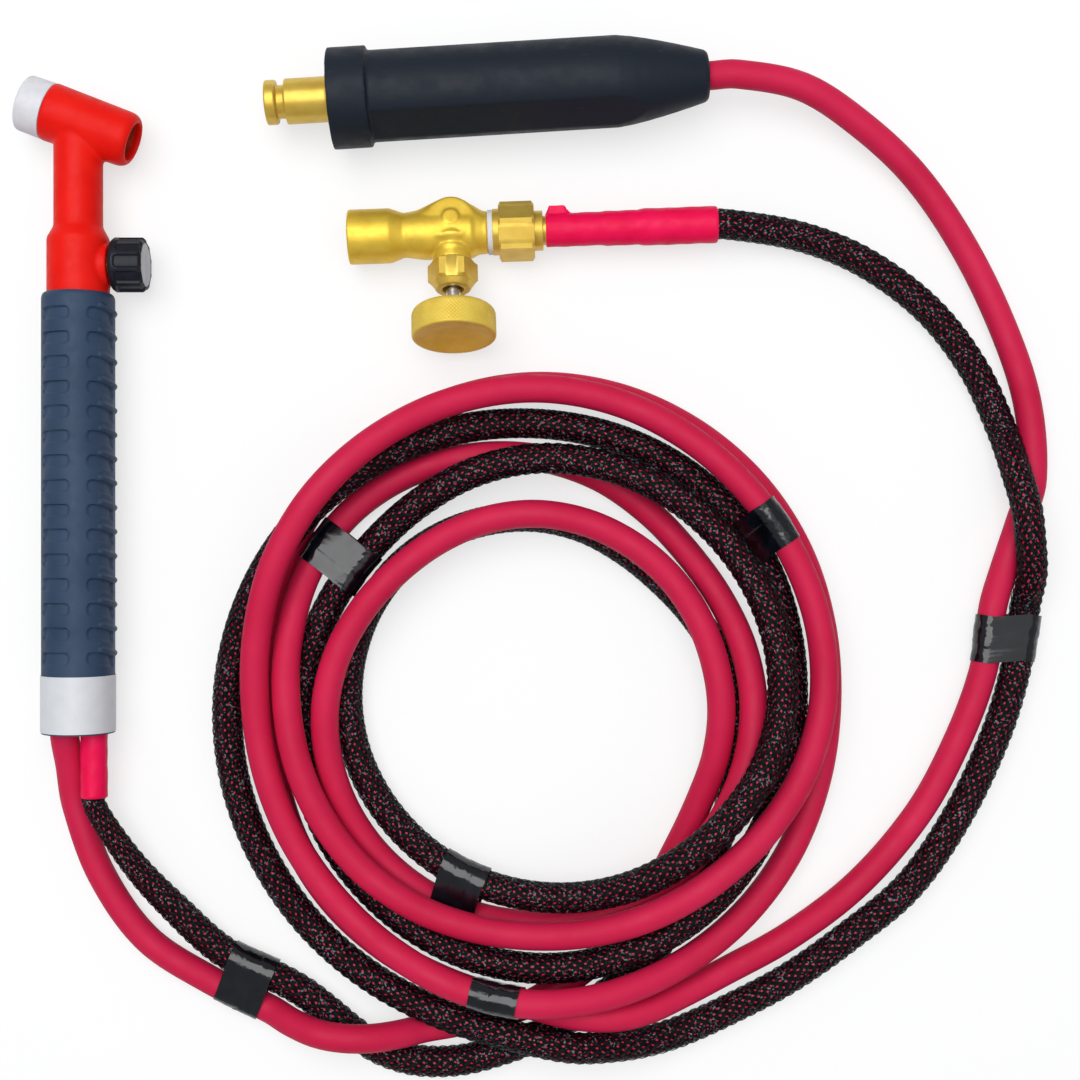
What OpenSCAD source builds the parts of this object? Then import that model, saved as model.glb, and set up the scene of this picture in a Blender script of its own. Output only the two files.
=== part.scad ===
// Air-cooled welding torch with its power cable, gas hose, plug and gas valve, laid out flat.

/* [Torch handle] */
// Diameter of the handle between its grooves
handle_d = 24.2; // [23:0.1:26]
// Length of the handle
handle_len = 148; // [125:1:180]
// Wall of the handle between its grooves
handle_wall = 1.8; // [1.4:0.05:1.9]
// Spacing of the grip rows
grip_pitch = 8.2; // [7:0.1:9]
// Width of one grip groove
groove_w = 4.2; // [3:0.1:5]
// Depth of the grip grooves
groove_depth = 0.7; // [0.3:0.05:0.9]
// Height that the side ribs stand proud
rib_h = 0.5; // [0.2:0.05:0.8]
// Width of one side rib
rib_w = 2.2; // [1:0.1:2.6]
// Width of the label band
label_w = 19; // [10:0.5:20]
// Thickness of the label band
label_t = 0.25; // [0.1:0.05:0.6]

/* [Torch head] */
// Diameter of the cover where the valve sits
boss_d = 20.8; // [20.6:0.1:23]
// Height of the valve boss
boss_len = 18.5; // [17:0.5:24]
// Height of the taper from the boss to the neck
boss_taper = 4; // [2:0.5:8]
// Diameter of the neck
neck_d = 16.3; // [15:0.1:18]
// Height of the head's axis above the handle's lower end, past the handle's length
head_rise = 58; // [54:0.5:70]
// Tilt of the head from square to the handle
head_tilt = 20; // [10:1:30]
// Diameter of the head at its front
head_front_d = 19.8; // [19:0.1:22]
// Diameter of the head at its rear
head_rear_d = 18.6; // [18:0.1:21]
// Length of the head from the neck's axis to the rear end
head_rear = 20; // [18:0.5:26]
// Length of the cover from the neck's axis to the front
head_front = 10.4; // [10:0.2:14]
// Length of the white cup gasket
gasket_len = 9; // [6:0.5:12]
// Outer diameter of the cup gasket
gasket_d = 19.4; // [18:0.1:21]
// Diameter of the brass head insert
insert_d = 14.4; // [14:0.1:15]
// Bore for the collet body
collet_bore_d = 9.5; // [8:0.1:10]
// Depth of the collet bore
collet_bore_len = 13; // [11:0.5:14]
// Bore for the back cap
cap_bore_d = 12.4; // [12:0.1:12.8]
// Depth of the back cap bore
cap_bore_len = 9.5; // [8:0.25:9.75]

/* [Torch valve] */
// Diameter of the brass valve block
block_d = 16; // [15.4:0.1:16.6]
// Diameter of the valve stem
stem_d = 5; // [4:0.1:5.4]
// Diameter of the gland that guides the stem
gland_d = 9; // [8.6:0.1:10]
// Diameter of the knob
knob_d = 18.4; // [16:0.1:22]
// Length of the knob
knob_len = 11.2; // [9:0.1:14]
// Number of sunk panels round the knob
knob_panels = 10; // [6:1:12]
// Diameter of the neck tube
tube_d = 10; // [8:0.1:10.4]

/* [Plug] */
// Diameter of the contact pin
pin_d = 15; // [14:0.1:15.4]
// Length of the pin that shows
pin_len = 21.7; // [18:0.1:26]
// Diameter of the plug's front flange
flange_d = 33.2; // [32:0.1:36]
// Length of the front flange
flange_len = 13; // [8:0.5:16]
// Diameter of the plug's rubber body
plug_d = 30; // [28:0.1:31]
// Length of the body behind the flange, up to its taper
plug_len = 83; // [70:1:100]
// Length of the taper at the cable's end
plug_taper = 30.5; // [20:0.5:40]
// Diameter at the cable's end
plug_end_d = 17; // [15:0.1:20]

/* [Gas valve] */
// Outer diameter of the inlet
inlet_d = 18.4; // [17.6:0.1:20]
// Bore of the inlet thread
inlet_bore_d = 14.6; // [12:0.1:15]
// Depth of the inlet thread
inlet_bore_len = 12; // [8:0.5:13.5]
// Diameter of the necks of the run
run_d = 14.4; // [13:0.1:15]
// Diameter of the domed seat chamber
dome_d = 18; // [17:0.1:19]
// Size of the hose nut across flats
nut_af = 17.5; // [16:0.1:18]
// Size of the packing nut across flats
packing_af = 14.6; // [14:0.1:16]
// Diameter of the hand wheel
wheel_d = 28.4; // [24:0.1:29]
// Thickness of the hand wheel
wheel_t = 10; // [8:0.1:11]
// Diameter of the gas valve's stem
spindle_d = 5; // [4:0.1:5.6]

/* [Cords] */
// Diameter of the power cable
cable_d = 9.5; // [9:0.1:9.6]
// Diameter of the braided gas hose
hose_d = 10.6; // [10:0.1:10.7]
// Diameter of the bare hose inside its braid
core_d = 7.4; // [7:0.1:7.6]
// Bore of the bare hose
core_bore_d = 4.6; // [4:0.1:5]
// Thickness of the shrink sleeves
shrink_t = 0.5; // [0.3:0.05:0.8]
// Length of the tape bands
tape_len = 15; // [10:0.5:16]
// Thickness of the tape bands
tape_t = 0.15; // [0.1:0.01:0.2]

/* [Hidden] */
$fn = 64;
// Radial clearance of pieces that are fixed in each other
fit = 0.05;
// Radial clearance of pieces that turn or slide in each other
run_fit = 0.06;
// Clearance of a cord in what it passes through
cord_fit = 0.12;
// Overshoot of cutting tools
eps = 1;
// Overlap of the pieces that one solid is made of
lap = 0.2;
label_d = handle_d + 2 * fit + 2 * label_t;
handle_bore_d = handle_d - 2 * handle_wall;

// Grip: the middle of the smooth strip, and the grooves' and ribs' reach to its sides
strip_turn = 15;
groove_from = 14;
groove_to = 70;
rib_from = 33;
rib_to = 147;
rib_rise = 0.1;
grip_margin = 4.4;
grip_top = 1.6;
grip_start = label_w + grip_margin;
grip_rows = floor((handle_len - grip_top - grip_start) / grip_pitch + 0.01);
label_start = 0.5;
// Chamfer at the handle's upper end
shoulder_h = 1;
shoulder_in = 0.8;

// The cover's spigot in the handle
spigot_len = 12;
spigot_fit = 2 * fit;
// Axial places on the torch, from the handle's lower end
boss_top = handle_len + boss_len;
valve_off = 0.5;
neck_bottom = boss_top + boss_taper;
head_y = handle_len + head_rise;
valve_y = handle_len + boss_len / 2 + valve_off;
// Edge break of the gasket
gasket_edge = 0.8;
gasket_front = head_front + gasket_len;
// Rounding of the head's rear end
rear_edge_len = 3.6;
rear_edge_in = 2.4;
round_step = 15;
// The insert's nose in the gasket
nose_d = 13;
nose_len = 4;
rear_wall = 2.5;
rear_hole_gap = 0.2;
rear_hole_d = cap_bore_d + 2 * rear_hole_gap;
insert_rear = head_rear - rear_wall;
mid_bore_d = 7;
// The neck tube's sockets
tube_wall = 1.6;
socket_gap = 0.3;
socket_wall = 0.6;
tube_top = head_y - collet_bore_d / 2 - socket_wall;
block_past = 1;
block_top = boss_top + block_past;
block_len = 37;
block_bottom = block_top - block_len;
tube_bottom = valve_y + gland_d / 2 + socket_wall;
gas_way_d = 3;
// The valve along its own axis, from the torch's axis
stem_tip_x = 1.2;
gland_seat_x = 3;
knob_gap = 0.5;
port_wall = 2.5;
port_proud = 0.5;
gland_proud = 0.3;
port_d = gland_d + 2 * port_wall;
port_x = boss_d / 2 + port_proud;
gland_end_x = port_x + gland_proud;
knob_x = gland_end_x + knob_gap;
knob_end_x = knob_x + knob_len;
knob_face = 2.2;
knob_edge = 1;
bore_end_gap = 0.3;
stem_end_x = knob_end_x - knob_face - bore_end_gap;
stem_point_len = 1.4;
stem_point_d = 2;
seal_d = 1.4;
seal_x = 6.5;
panel_depth = 0.7;
panel_start = 2;
ridge_w = 1.4;
panel_half = 180 / knob_panels - asin(ridge_w / knob_d);

// The torch's box, which the origin is centred under
corner_a = [gasket_front, gasket_d / 2 - gasket_edge];
corner_b = [gasket_front - gasket_edge, gasket_d / 2];
function corner_x(c) = c[0] * cos(head_tilt) + c[1] * sin(head_tilt);
function corner_y(c) = c[0] * sin(head_tilt) + c[1] * cos(head_tilt);
box_left = -max(corner_x(corner_a), corner_x(corner_b));
box_right = knob_end_x;
box_top = head_y + max(corner_y(corner_a), corner_y(corner_b));
torch_at = [-(box_left + box_right) / 2, -box_top / 2, label_d / 2];

// Where the two cords leave the handle, from its axis
cable_wall_gap = 0.85;
hose_wall_gap = 1.3;
cable_off = [cable_d / 2 + cable_wall_gap - handle_bore_d / 2, 0];
hose_off = [handle_bore_d / 2 - core_d / 2 - hose_wall_gap, 0];
cup_wall = 0.55;
connector_cup_d = cable_d + 2 * cup_wall;
cup_drop = 34.5;
cup_bottom = block_bottom - cup_drop;
cup_len = 20;
cup_depth = 14;
connector_rod_d = 6;
barb_d = core_bore_d - 2 * fit;
barb_flange_d = 7.2;
barb_flange_gap = 1;
barb_flange_len = 5;
barb_flange_bottom = block_bottom - barb_flange_gap - barb_flange_len;
barb_rise = 2;
barb_bottom = cup_bottom + barb_rise;
core_bottom = -20;
crimp_t = 0.5;
crimp_len = 12;
crimp_rise = 4;
shrink_top = 8;
rod_socket = 6;

// Plug axis: its tip, its turn on the table and its height
plug_tip = [63.3, 100.6];
plug_turn = 3.5;
plug_z = flange_d / 2;
pin_head_step = 0.15;
pin_head_d = pin_d - 2 * pin_head_step;
pin_head_len = 3.7;
pin_groove_d = 11;
pin_groove_len = 3;
pin_collar_d = 18.2;
pin_collar_len = 2.3;
pin_shank_d = 15.4;
pin_shank_len = 40;
pin_shank_end = pin_len + pin_shank_len;
pin_seat_len = 12;
cable_seat = pin_len + pin_seat_len;
collar_start = pin_len - pin_collar_len / 2;
flange_end = pin_len + flange_len;
taper_start = flange_end + plug_len;
plug_end = taper_start + plug_taper;
taper_steps = 6;
taper_ease = 1.3;
end_edge = 1;
flat_at = 13.6;
flat_gap = 0.4;
flat_roll = 58;
screw_d = 6;
screw_back = 30;
screw_sunk = 0.3;
screw_key_d = 3;
screw_key_depth = 1.2;
screw_x = pin_len + screw_back;
screw_top = sqrt(pow(pin_shank_d / 2, 2) - pow(screw_d / 2, 2)) - screw_sunk;

// Gas valve: the crossing of its run and branch, its turn on the table and its roll
valve_at = [125.2, 57.9];
valve_turn = 2;
valve_roll = 16;
valve_z = 10.6;
inlet_end = -34.9;
inlet_len = 14;
inlet_taper = 5.5;
run_right = 12.2;
inlet_way_d = 4;
outlet_way_d = 5;
// The thicker middle of the run, with its tapers
barrel_d = 17;
barrel_from = -9.6;
barrel_to = 6.7;
barrel_rise = 8;
barrel_fall = 2.5;
dome_t = 14;
dome_edge = 3;
dome_rise = 2.7;
// Where the web from the inlet's neck to the dome starts
web_from = -14;
mark_off = 5.5;
mark_d = 6;
mark_h = 0.4;
washer_d = 15;
washer_t = 1.6;
outlet_d = 12.4;
outlet_end = 22;
nut_start = run_right + washer_t;
nut_len = 17;
nut_end = nut_start + nut_len;
nipple_d = 9.8;
nipple_past = 2;
nipple_end = nut_end + nipple_past;
nipple_tail_len = 19;
nipple_tail_end = nipple_end + nipple_tail_len;
nut_wall = 6.5;
nut_edge = 1.5;
nut_edge_in = 0.3;
nut_roll = 18;
// Turned collars at the hose nut's ends
collar_in_len = 2.1;
collar_out_len = 3;
collar_in_d = 15.6;
collar_out_d = 13.4;
valve_core_len = 53;
shrink_past = 4;
valve_core_end = nipple_end + valve_core_len;
valve_shrink_end = valve_core_end + shrink_past;
branch_d = 12.9;
branch_end = 10.9;
// The flare at the branch's foot, and the bead past it
flare_from = 3.5;
flare_end = 6.2;
flare_w = 2.4;
bead_start = 6.5;
bead_w = 1;
bead_h = 0.4;
packing_start = branch_end;
packing_hex_len = 7.8;
packing_len = 9.8;
packing_end_d = 11.6;
packing_mouth_d = 7.2;
packing_mouth = 2.5;
packing_step = 0.35;
packing_ring_t = 4;
packing_ring_w = 2;
seat_y = 2;
spindle_point_gap = 0.2;
spindle_point_len = 2.3;
spindle_point_d = 3.4;
wheel_gap = 7.3;
wheel_start = packing_start + packing_len + wheel_gap;
wheel_end = wheel_start + wheel_t;
dish_depth = 3.4;
dish_rim = 1.6;
dish_steps = 5;
// Rounding of the wheel's back, and its floor under the dish
wheel_edge = 2.6;
wheel_floor = 1.2;
spindle_end = wheel_end - dish_depth - wheel_floor - bore_end_gap;
clamp_t = 0.6;
clamp_back = 3;
clamp_start = nipple_end + clamp_back;
clamp_len = 7;
ear_w = 4;
ear_top = 7;
bump_past = 1.2;

// Coil: its centre and, for each eighth of a turn from the bottom, a cord's radius and height
coil_at = [153.3, -102];
coil_start = 270;
eighth = 45;
cable_lay = [
    [152, 4.8], [101.5, 4.8], [69, 4.8], [62.5, 16], [63, 16], [65, 16], [65, 16], [70.5, 14.5], [74, 7],
    [74.5, 8.2], [73, 16.5], [73.5, 15], [73.5, 4.8], [84.5, 4.8], [91, 5.5], [83, 17.2], [79, 17],
    [76, 18.7], [81, 26], [96.5, 15.5], [102, 16], [107, 16], [101.5, 27.8], [93.5, 17.5], [93, 16],
    [96.5, 27], [100.5, 8], [100, 4.8], [106.5, 4.8], [109, 4.8], [102.5, 4.8], [92, 4.8], [96.5, 4.8],
    [100, 16.5], [123, 4.8]
];
hose_lay = [
    [160.5, 5.3], [113.5, 5.3], [81.5, 5.3], [68.5, 5.3], [60.5, 5.3], [64, 5.3], [66, 5.3], [64, 5.3], [62, 7],
    [63.5, 15], [69, 28], [81.5, 24.5], [84.5, 21], [83.5, 16.5], [77.5, 8.2], [80, 5.3], [84.5, 5.3],
    [87.5, 15.5], [88, 15.5], [88, 6], [93.5, 6], [96, 5.5], [100, 17], [104.5, 8.5], [107.5, 5.3],
    [111.5, 17], [143, 5.3]
];
rings_a_turn = 24;
ring_step = 360 / rings_a_turn;
tube_sides = 8;

// How far the cords run straight out of the torch, the plug and the valve's sleeve
straight_out = 4;
plug_straight = 10;
valve_straight = 3;
// Free stretches, point by point
cable_lead_route = [
    [-4.8, -122, 8.5], [-3.5, -136, 5.5], [5, -160, 4.9], [20.5, -182, 4.8], [42, -196, 5.1], [62.5, -206, 5.1],
    [71, -209.4, 10], [80, -211.6, 14.9], [89, -212.8, 16.4], [98, -213.2, 15.2], [107, -213, 11.4],
    [116, -212.3, 6.2], [126, -210.9, 4.9], [139, -207.8, 4.8]
];
hose_lead_route = [
    [10, -145, 11], [18.5, -158, 8], [29, -170, 6], [46.8, -186.2, 5.6], [67.3, -196.2, 5.6], [75, -200.8, 5.3],
    [83, -207, 5.3], [91.5, -214, 5.3], [101, -220, 5.3], [113, -223.6, 5.3], [127, -223.6, 5.3], [140, -220.6, 5.3]
];
cable_tail_route = [
    [167, -205.3, 16.3], [180, -206, 15.8], [191, -204.3, 13], [203, -200.3, 8], [216, -194.5, 4.8],
    [240.5, -181, 4.8], [264, -163, 4.8], [284.5, -139, 4.8], [297.5, -115, 4.8], [306.5, -90.5, 5.1], [310, -68, 5.1],
    [314, -55, 4.8], [319, -40, 4.8], [323.5, -25, 4.8], [321.5, 2, 4.8], [312.3, 29.4, 4.8], [298.6, 56.8, 4.8],
    [282, 79.5, 6.5], [262, 96, 11], [243, 106.5, 15]
];
hose_tail_route = [
    [167, -216, 16.5], [180, -216.5, 13], [191, -216, 9], [203, -213.5, 5.6], [220, -206, 5.3], [240, -195.5, 5.3],
    [260, -181.5, 5.3], [281, -164, 5.3], [298, -139.5, 5.3], [310.5, -113, 5.3], [317.3, -90.5, 5.6], [320.8, -68, 5.6],
    [321, -57, 12.5], [319.5, -45, 15.7], [318.3, -35, 15.6], [315.8, -23, 12.2], [312.5, -8, 6], [303, 13, 5.3],
    [287.5, 33, 5.3], [266, 49, 5.3], [244, 57.6, 6.5]
];

// Frames
module torch() translate(torch_at) children();
module along_y() rotate([-90, 0, 0]) children();
module along_x() rotate([0, 90, 0]) children();
module head_axis() torch() translate([0, head_y, 0]) rotate([0, 0, 180 - head_tilt]) along_x() children();
module valve_axis() torch() translate([0, valve_y, 0]) along_x() children();
module cable_bay() torch() translate([cable_off[0], 0, cable_off[1]]) along_y() children();
module hose_bay() torch() translate([hose_off[0], 0, hose_off[1]]) along_y() children();
module plug_axis() translate([plug_tip[0], plug_tip[1], plug_z]) rotate([0, 0, plug_turn]) along_x() children();
module gas_valve() translate([valve_at[0], valve_at[1], valve_z]) rotate([0, 0, valve_turn])
    rotate([-valve_roll, 0, 0]) children();
module run_axis() gas_valve() along_x() children();
module branch_axis() gas_valve() rotate([90, 0, 0]) children();
// A round piece from one place on its axis to another
module rod(from, to, d) translate([0, 0, from]) cylinder(d = d, h = to - from);
module taper_rod(from, to, d1, d2) translate([0, 0, from]) cylinder(d1 = d1, d2 = d2, h = to - from);
module sleeve(from, to, outer, inner) difference() {
    rod(from, to, outer);
    rod(from - eps, to + eps, inner);
}

// Points along cords
function torch_point(x, y, z) = [torch_at[0] + x, torch_at[1] + y, torch_at[2] + z];
function plug_point(x) = [plug_tip[0] + x * cos(plug_turn), plug_tip[1] + x * sin(plug_turn), plug_z];
function run_point(x) = [valve_at[0] + x * cos(valve_turn), valve_at[1] + x * sin(valve_turn), valve_z];
function blend(a, b, c, d, t) = (2 * b + (c - a) * t + (2 * a - 5 * b + 4 * c - d) * t * t
    + (3 * b - a - 3 * c + d) * t * t * t) / 2;
function laid(lay, turn_angle, least) =
    let (i = min(floor(turn_angle / eighth), len(lay) - 4), t = turn_angle / eighth - i,
         rz = blend(lay[i], lay[i + 1], lay[i + 2], lay[i + 3], t), a = coil_start + turn_angle)
    [coil_at[0] + rz[0] * cos(a), coil_at[1] + rz[0] * sin(a), max(rz[1], least)];
function coil_points(lay, least) = [
    for (a = [0 : ring_step : (len(lay) - 3) * eighth]) laid(lay, a, least)
];
cable_loops = coil_points(cable_lay, cable_d / 2);
hose_loops = coil_points(hose_lay, hose_d / 2);
cable_lead_points = concat(
    [torch_point(cable_off[0], cup_bottom + cup_len - cup_depth, cable_off[1]),
     torch_point(cable_off[0], (cup_bottom + cup_len - cup_depth) / 2, cable_off[1]),
     torch_point(cable_off[0], 0, cable_off[1])],
    cable_lead_route, [cable_loops[0]]);
hose_lead_points = concat(
    [torch_point(hose_off[0], core_bottom, hose_off[1]),
     torch_point(hose_off[0], core_bottom - straight_out, hose_off[1])],
    hose_lead_route, [hose_loops[0]]);
cable_tail_points = concat([cable_loops[len(cable_loops) - 1]], cable_tail_route,
    [plug_point(plug_end + plug_straight), plug_point(plug_end), plug_point(cable_seat)]);
hose_tail_points = concat([hose_loops[len(hose_loops) - 1]], hose_tail_route,
    [run_point(valve_shrink_end + valve_straight), run_point(valve_core_end)]);

// A tube of flat-sided rings along points, with given end directions
function unit(v) = v / norm(v);
function heading(p, i, first, last) =
    i == 0 ? first : i == len(p) - 1 ? last : unit(unit(p[i + 1] - p[i]) + unit(p[i] - p[i - 1]));
function ring(at, along, d) =
    let (side = unit(cross(along, [0, 0, 1])), up = cross(side, along))
    [for (k = [0 : tube_sides - 1]) at + d / 2 * (cos(k * 360 / tube_sides) * side + sin(k * 360 / tube_sides) * up)];
module cord_tube(points, d, first, last) {
    n = len(points);
    corners = [for (i = [0 : n - 1]) each ring(points[i], heading(points, i, first, last), d)];
    sides = [for (i = [0 : n - 2]) for (k = [0 : tube_sides - 1])
        let (a = i * tube_sides + k, b = i * tube_sides + (k + 1) % tube_sides)
        each [[a, a + tube_sides, b], [b, a + tube_sides, b + tube_sides]]];
    ends = [for (k = [1 : tube_sides - 2]) each [[0, k, k + 1],
        [(n - 1) * tube_sides, (n - 1) * tube_sides + k + 1, (n - 1) * tube_sides + k]]];
    polyhedron(corners, concat(sides, ends), convexity = 12);
}
function coil_heading(points, last) = last ? unit(points[len(points) - 1] - points[len(points) - 2])
    : unit(points[1] - points[0]);

// Least gap of each coil to itself, measured on points at least half a turn apart
function self_gap(points, d) = min([for (i = [0 : len(points) - 1 - rings_a_turn / 2])
    for (j = [i + rings_a_turn / 2 : len(points) - 1]) norm(points[i] - points[j])]) - d;
echo(cable_coil_gap = self_gap(cable_loops, cable_d), hose_coil_gap = self_gap(hose_loops, hose_d));
function length_of(p) = len(p) < 2 ? 0 : [for (i = 0, s = 0; i < len(p); i = i + 1,
    s = s + (i < len(p) ? norm(p[i] - p[i - 1]) : 0)) s][len(p) - 1];
echo(cable_length = length_of(cable_lead_points) + length_of(cable_loops) + length_of(cable_tail_points));
echo(hose_length = length_of(hose_lead_points) + length_of(hose_loops) + length_of(hose_tail_points));

// A straight band round two cords that run side by side between two places
module cord_rod(a, b, d, past) {
    along = unit(b - a);
    translate(a - past * along) rotate([0, acos(along[2]), atan2(along[1], along[0])])
        cylinder(d = d, h = norm(b - a) + 2 * past, $fn = 24);
}
module tape(a0, a1, a_d, b0, b1, b_d) {
    function cut(p, q) = let (m = (p + q) / 2, v = unit(q - p) * tape_len / 2) [m - v, m + v];
    a = cut(a0, a1);
    b = cut(b0, b1);
    inside = 2 * cord_fit;
    outside = inside + 2 * tape_t;
    difference() {
        hull() {
            cord_rod(a[0], a[1], a_d + outside, 0);
            cord_rod(b[0], b[1], b_d + outside, 0);
        }
        hull() {
            cord_rod(a[0], a[1], a_d + inside, eps);
            cord_rod(b[0], b[1], b_d + inside, eps);
        }
    }
}

// Torch pieces
// A sector of the handle's section, from one angle to another
module sector(from, to, d) {
    middle = (from + to) / 2;
    intersection() {
        circle(d = d);
        polygon([[0, 0], d * [cos(from), sin(from)], 2 * d * [cos(middle), sin(middle)], d * [cos(to), sin(to)]]);
    }
}
// The section through a row of grooves, and the section of the side ribs
module groove_section() difference() {
    circle(d = handle_d);
    circle(d = handle_bore_d);
    difference() {
        for (side = [0, 180]) {
            sector(side + groove_from, side + groove_to, handle_d + eps);
            sector(side - groove_to, side - groove_from, handle_d + eps);
        }
        circle(d = handle_d - 2 * groove_depth);
    }
}
module rib_section() difference() {
    sector(rib_from, rib_to, handle_d + 2 * rib_h);
    circle(d = handle_d - 2 * groove_depth);
}
module handle() color("slategray") torch() along_y() rotate([0, 0, strip_turn - 90]) {
    last_land = grip_start + (grip_rows - 1) * grip_pitch + groove_w;
    sleeve(0, grip_start, handle_d, handle_bore_d);
    for (i = [0 : grip_rows - 1]) translate([0, 0, grip_start + i * grip_pitch]) {
        linear_extrude(groove_w) groove_section();
        if (i < grip_rows - 1) sleeve(groove_w, grip_pitch, handle_d, handle_bore_d);
    }
    rotate_extrude() polygon([[handle_bore_d / 2, last_land], [handle_d / 2, last_land],
        [handle_d / 2, handle_len - shoulder_h], [handle_d / 2 - shoulder_in, handle_len],
        [handle_bore_d / 2, handle_len]]);
    for (i = [0 : grip_rows - 2]) translate([0, 0, grip_start + i * grip_pitch + groove_w + rib_rise])
        linear_extrude(rib_w) rib_section();
}
module label_band() color("whitesmoke") torch() along_y() translate([0, 0, label_start])
    sleeve(0, label_w, label_d, handle_d + 2 * fit);
// Half of the section through the head's rounded rear end
module head_rear_profile() polygon(concat([[0, rear_edge_len - head_rear]], [
    for (a = [0 : round_step : 90])
        [head_rear_d / 2 - rear_edge_in * (1 - cos(a)), rear_edge_len * (1 - sin(a)) - head_rear]
], [[0, -head_rear]]));
module torch_cover() color("orangered") difference() {
    union() {
        head_axis() taper_rod(rear_edge_len - head_rear, head_front, head_rear_d, head_front_d);
        head_axis() rotate_extrude() head_rear_profile();
        torch() along_y() rod(handle_len - spigot_len, handle_len + lap, handle_bore_d - 2 * spigot_fit);
        torch() along_y() rod(handle_len, boss_top, boss_d);
        torch() along_y() taper_rod(boss_top, neck_bottom, boss_d, neck_d);
        torch() along_y() rod(neck_bottom, head_y, neck_d);
        valve_axis() rod(0, port_x, port_d);
    }
    head_axis() rod(-insert_rear - fit, head_front + eps, insert_d + 2 * fit);
    head_axis() rod(-head_rear - eps, 0, rear_hole_d);
    torch() along_y() rod(0, block_top + fit, block_d + 2 * fit);
    torch() along_y() rod(block_top - eps, head_y, tube_d + 2 * fit);
    valve_axis() rod(0, port_x + eps, gland_d + 2 * fit);
}
module cup_gasket() color("white") head_axis() difference() {
    union() {
        rod(head_front, gasket_front - gasket_edge, gasket_d);
        taper_rod(gasket_front - gasket_edge, gasket_front, gasket_d, gasket_d - 2 * gasket_edge);
    }
    rod(head_front - eps, gasket_front + eps, nose_d + 2 * fit);
}
module head_insert() color("peru") difference() {
    head_axis() union() {
        rod(-insert_rear, head_front, insert_d);
        rod(head_front, head_front + nose_len, nose_d);
    }
    head_axis() rod(head_front + nose_len - collet_bore_len, head_front + nose_len + eps, collet_bore_d);
    head_axis() rod(-insert_rear - eps, -insert_rear + cap_bore_len, cap_bore_d);
    head_axis() rod(-insert_rear, head_front, mid_bore_d);
    torch() along_y() rod(0, tube_top + socket_gap, tube_d + 2 * fit);
    torch() along_y() rod(tube_top, head_y, gas_way_d);
}
module neck_tube() color("sandybrown") torch() along_y()
    sleeve(tube_bottom, tube_top, tube_d, tube_d - 2 * tube_wall);
module valve_block() color("goldenrod") difference() {
    torch() along_y() rod(block_bottom, block_top, block_d);
    torch() along_y() rod(tube_bottom, block_top + eps, tube_d + 2 * fit);
    torch() along_y() rod(valve_y, block_top, gas_way_d);
    valve_axis() rod(gland_seat_x, block_d, gland_d + 2 * fit);
    valve_axis() rod(0, gland_seat_x + eps, stem_d + 2 * run_fit);
    cable_bay() rod(block_bottom - eps, block_bottom + rod_socket, connector_rod_d + 2 * fit);
    hose_bay() rod(block_bottom - eps, block_bottom + rod_socket, barb_d + 2 * fit);
}
module stem_gland() color("darkgoldenrod") valve_axis() difference() {
    rod(gland_seat_x, gland_end_x, gland_d);
    rod(0, gland_end_x + eps, stem_d + 2 * run_fit);
    rod(seal_x - seal_d / 2 - fit, seal_x + seal_d / 2 + fit, stem_d + 2 * seal_d + 4 * run_fit);
}
module stem_seal() color("black") valve_axis() translate([0, 0, seal_x]) rotate_extrude()
    translate([stem_d / 2 + run_fit + seal_d / 2, 0]) circle(d = seal_d);
module torch_stem() color("gold") valve_axis() {
    taper_rod(stem_tip_x, stem_tip_x + stem_point_len, stem_point_d, stem_d);
    rod(stem_tip_x + stem_point_len, stem_end_x, stem_d);
}
module torch_knob() color("dimgray") valve_axis() difference() {
    union() {
        taper_rod(knob_x, knob_x + knob_edge, knob_d - 2 * knob_edge, knob_d);
        rod(knob_x + knob_edge, knob_end_x - knob_edge, knob_d);
        taper_rod(knob_end_x - knob_edge, knob_end_x, knob_d, knob_d - 2 * knob_edge);
    }
    rod(knob_x - eps, stem_end_x + bore_end_gap, stem_d + 2 * run_fit);
    for (i = [0 : knob_panels - 1]) rotate([0, 0, i * 360 / knob_panels])
        translate([0, 0, knob_x + panel_start]) linear_extrude(knob_len) difference() {
            sector(-panel_half, panel_half, knob_d + eps);
            circle(d = knob_d - 2 * panel_depth);
        }
}
module power_connector() color("goldenrod") cable_bay() difference() {
    union() {
        rod(cup_bottom, cup_bottom + cup_len, connector_cup_d);
        rod(cup_bottom + cup_len, block_bottom + rod_socket - fit, connector_rod_d);
    }
    rod(cup_bottom - eps, cup_bottom + cup_len - cup_depth, cable_d + 2 * cord_fit);
}
module hose_barb() color("goldenrod") hose_bay() difference() {
    union() {
        rod(barb_bottom, block_bottom + rod_socket - fit, barb_d);
        rod(barb_flange_bottom, barb_flange_bottom + barb_flange_len, barb_flange_d);
    }
    rod(barb_bottom - eps, block_bottom + rod_socket + eps, gas_way_d);
}
module hose_core_torch() color("firebrick") hose_bay()
    sleeve(core_bottom, barb_flange_bottom, core_d, core_bore_d);
module hose_crimp() color("darkgoldenrod") hose_bay()
    sleeve(barb_bottom + crimp_rise, barb_bottom + crimp_rise + crimp_len, core_d + 2 * fit + 2 * crimp_t,
        core_d + 2 * fit);
module shrink_sleeve_torch() color("deeppink") hose_bay()
    sleeve(core_bottom, shrink_top, core_d + 2 * fit + 2 * shrink_t, core_d + 2 * fit);

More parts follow.
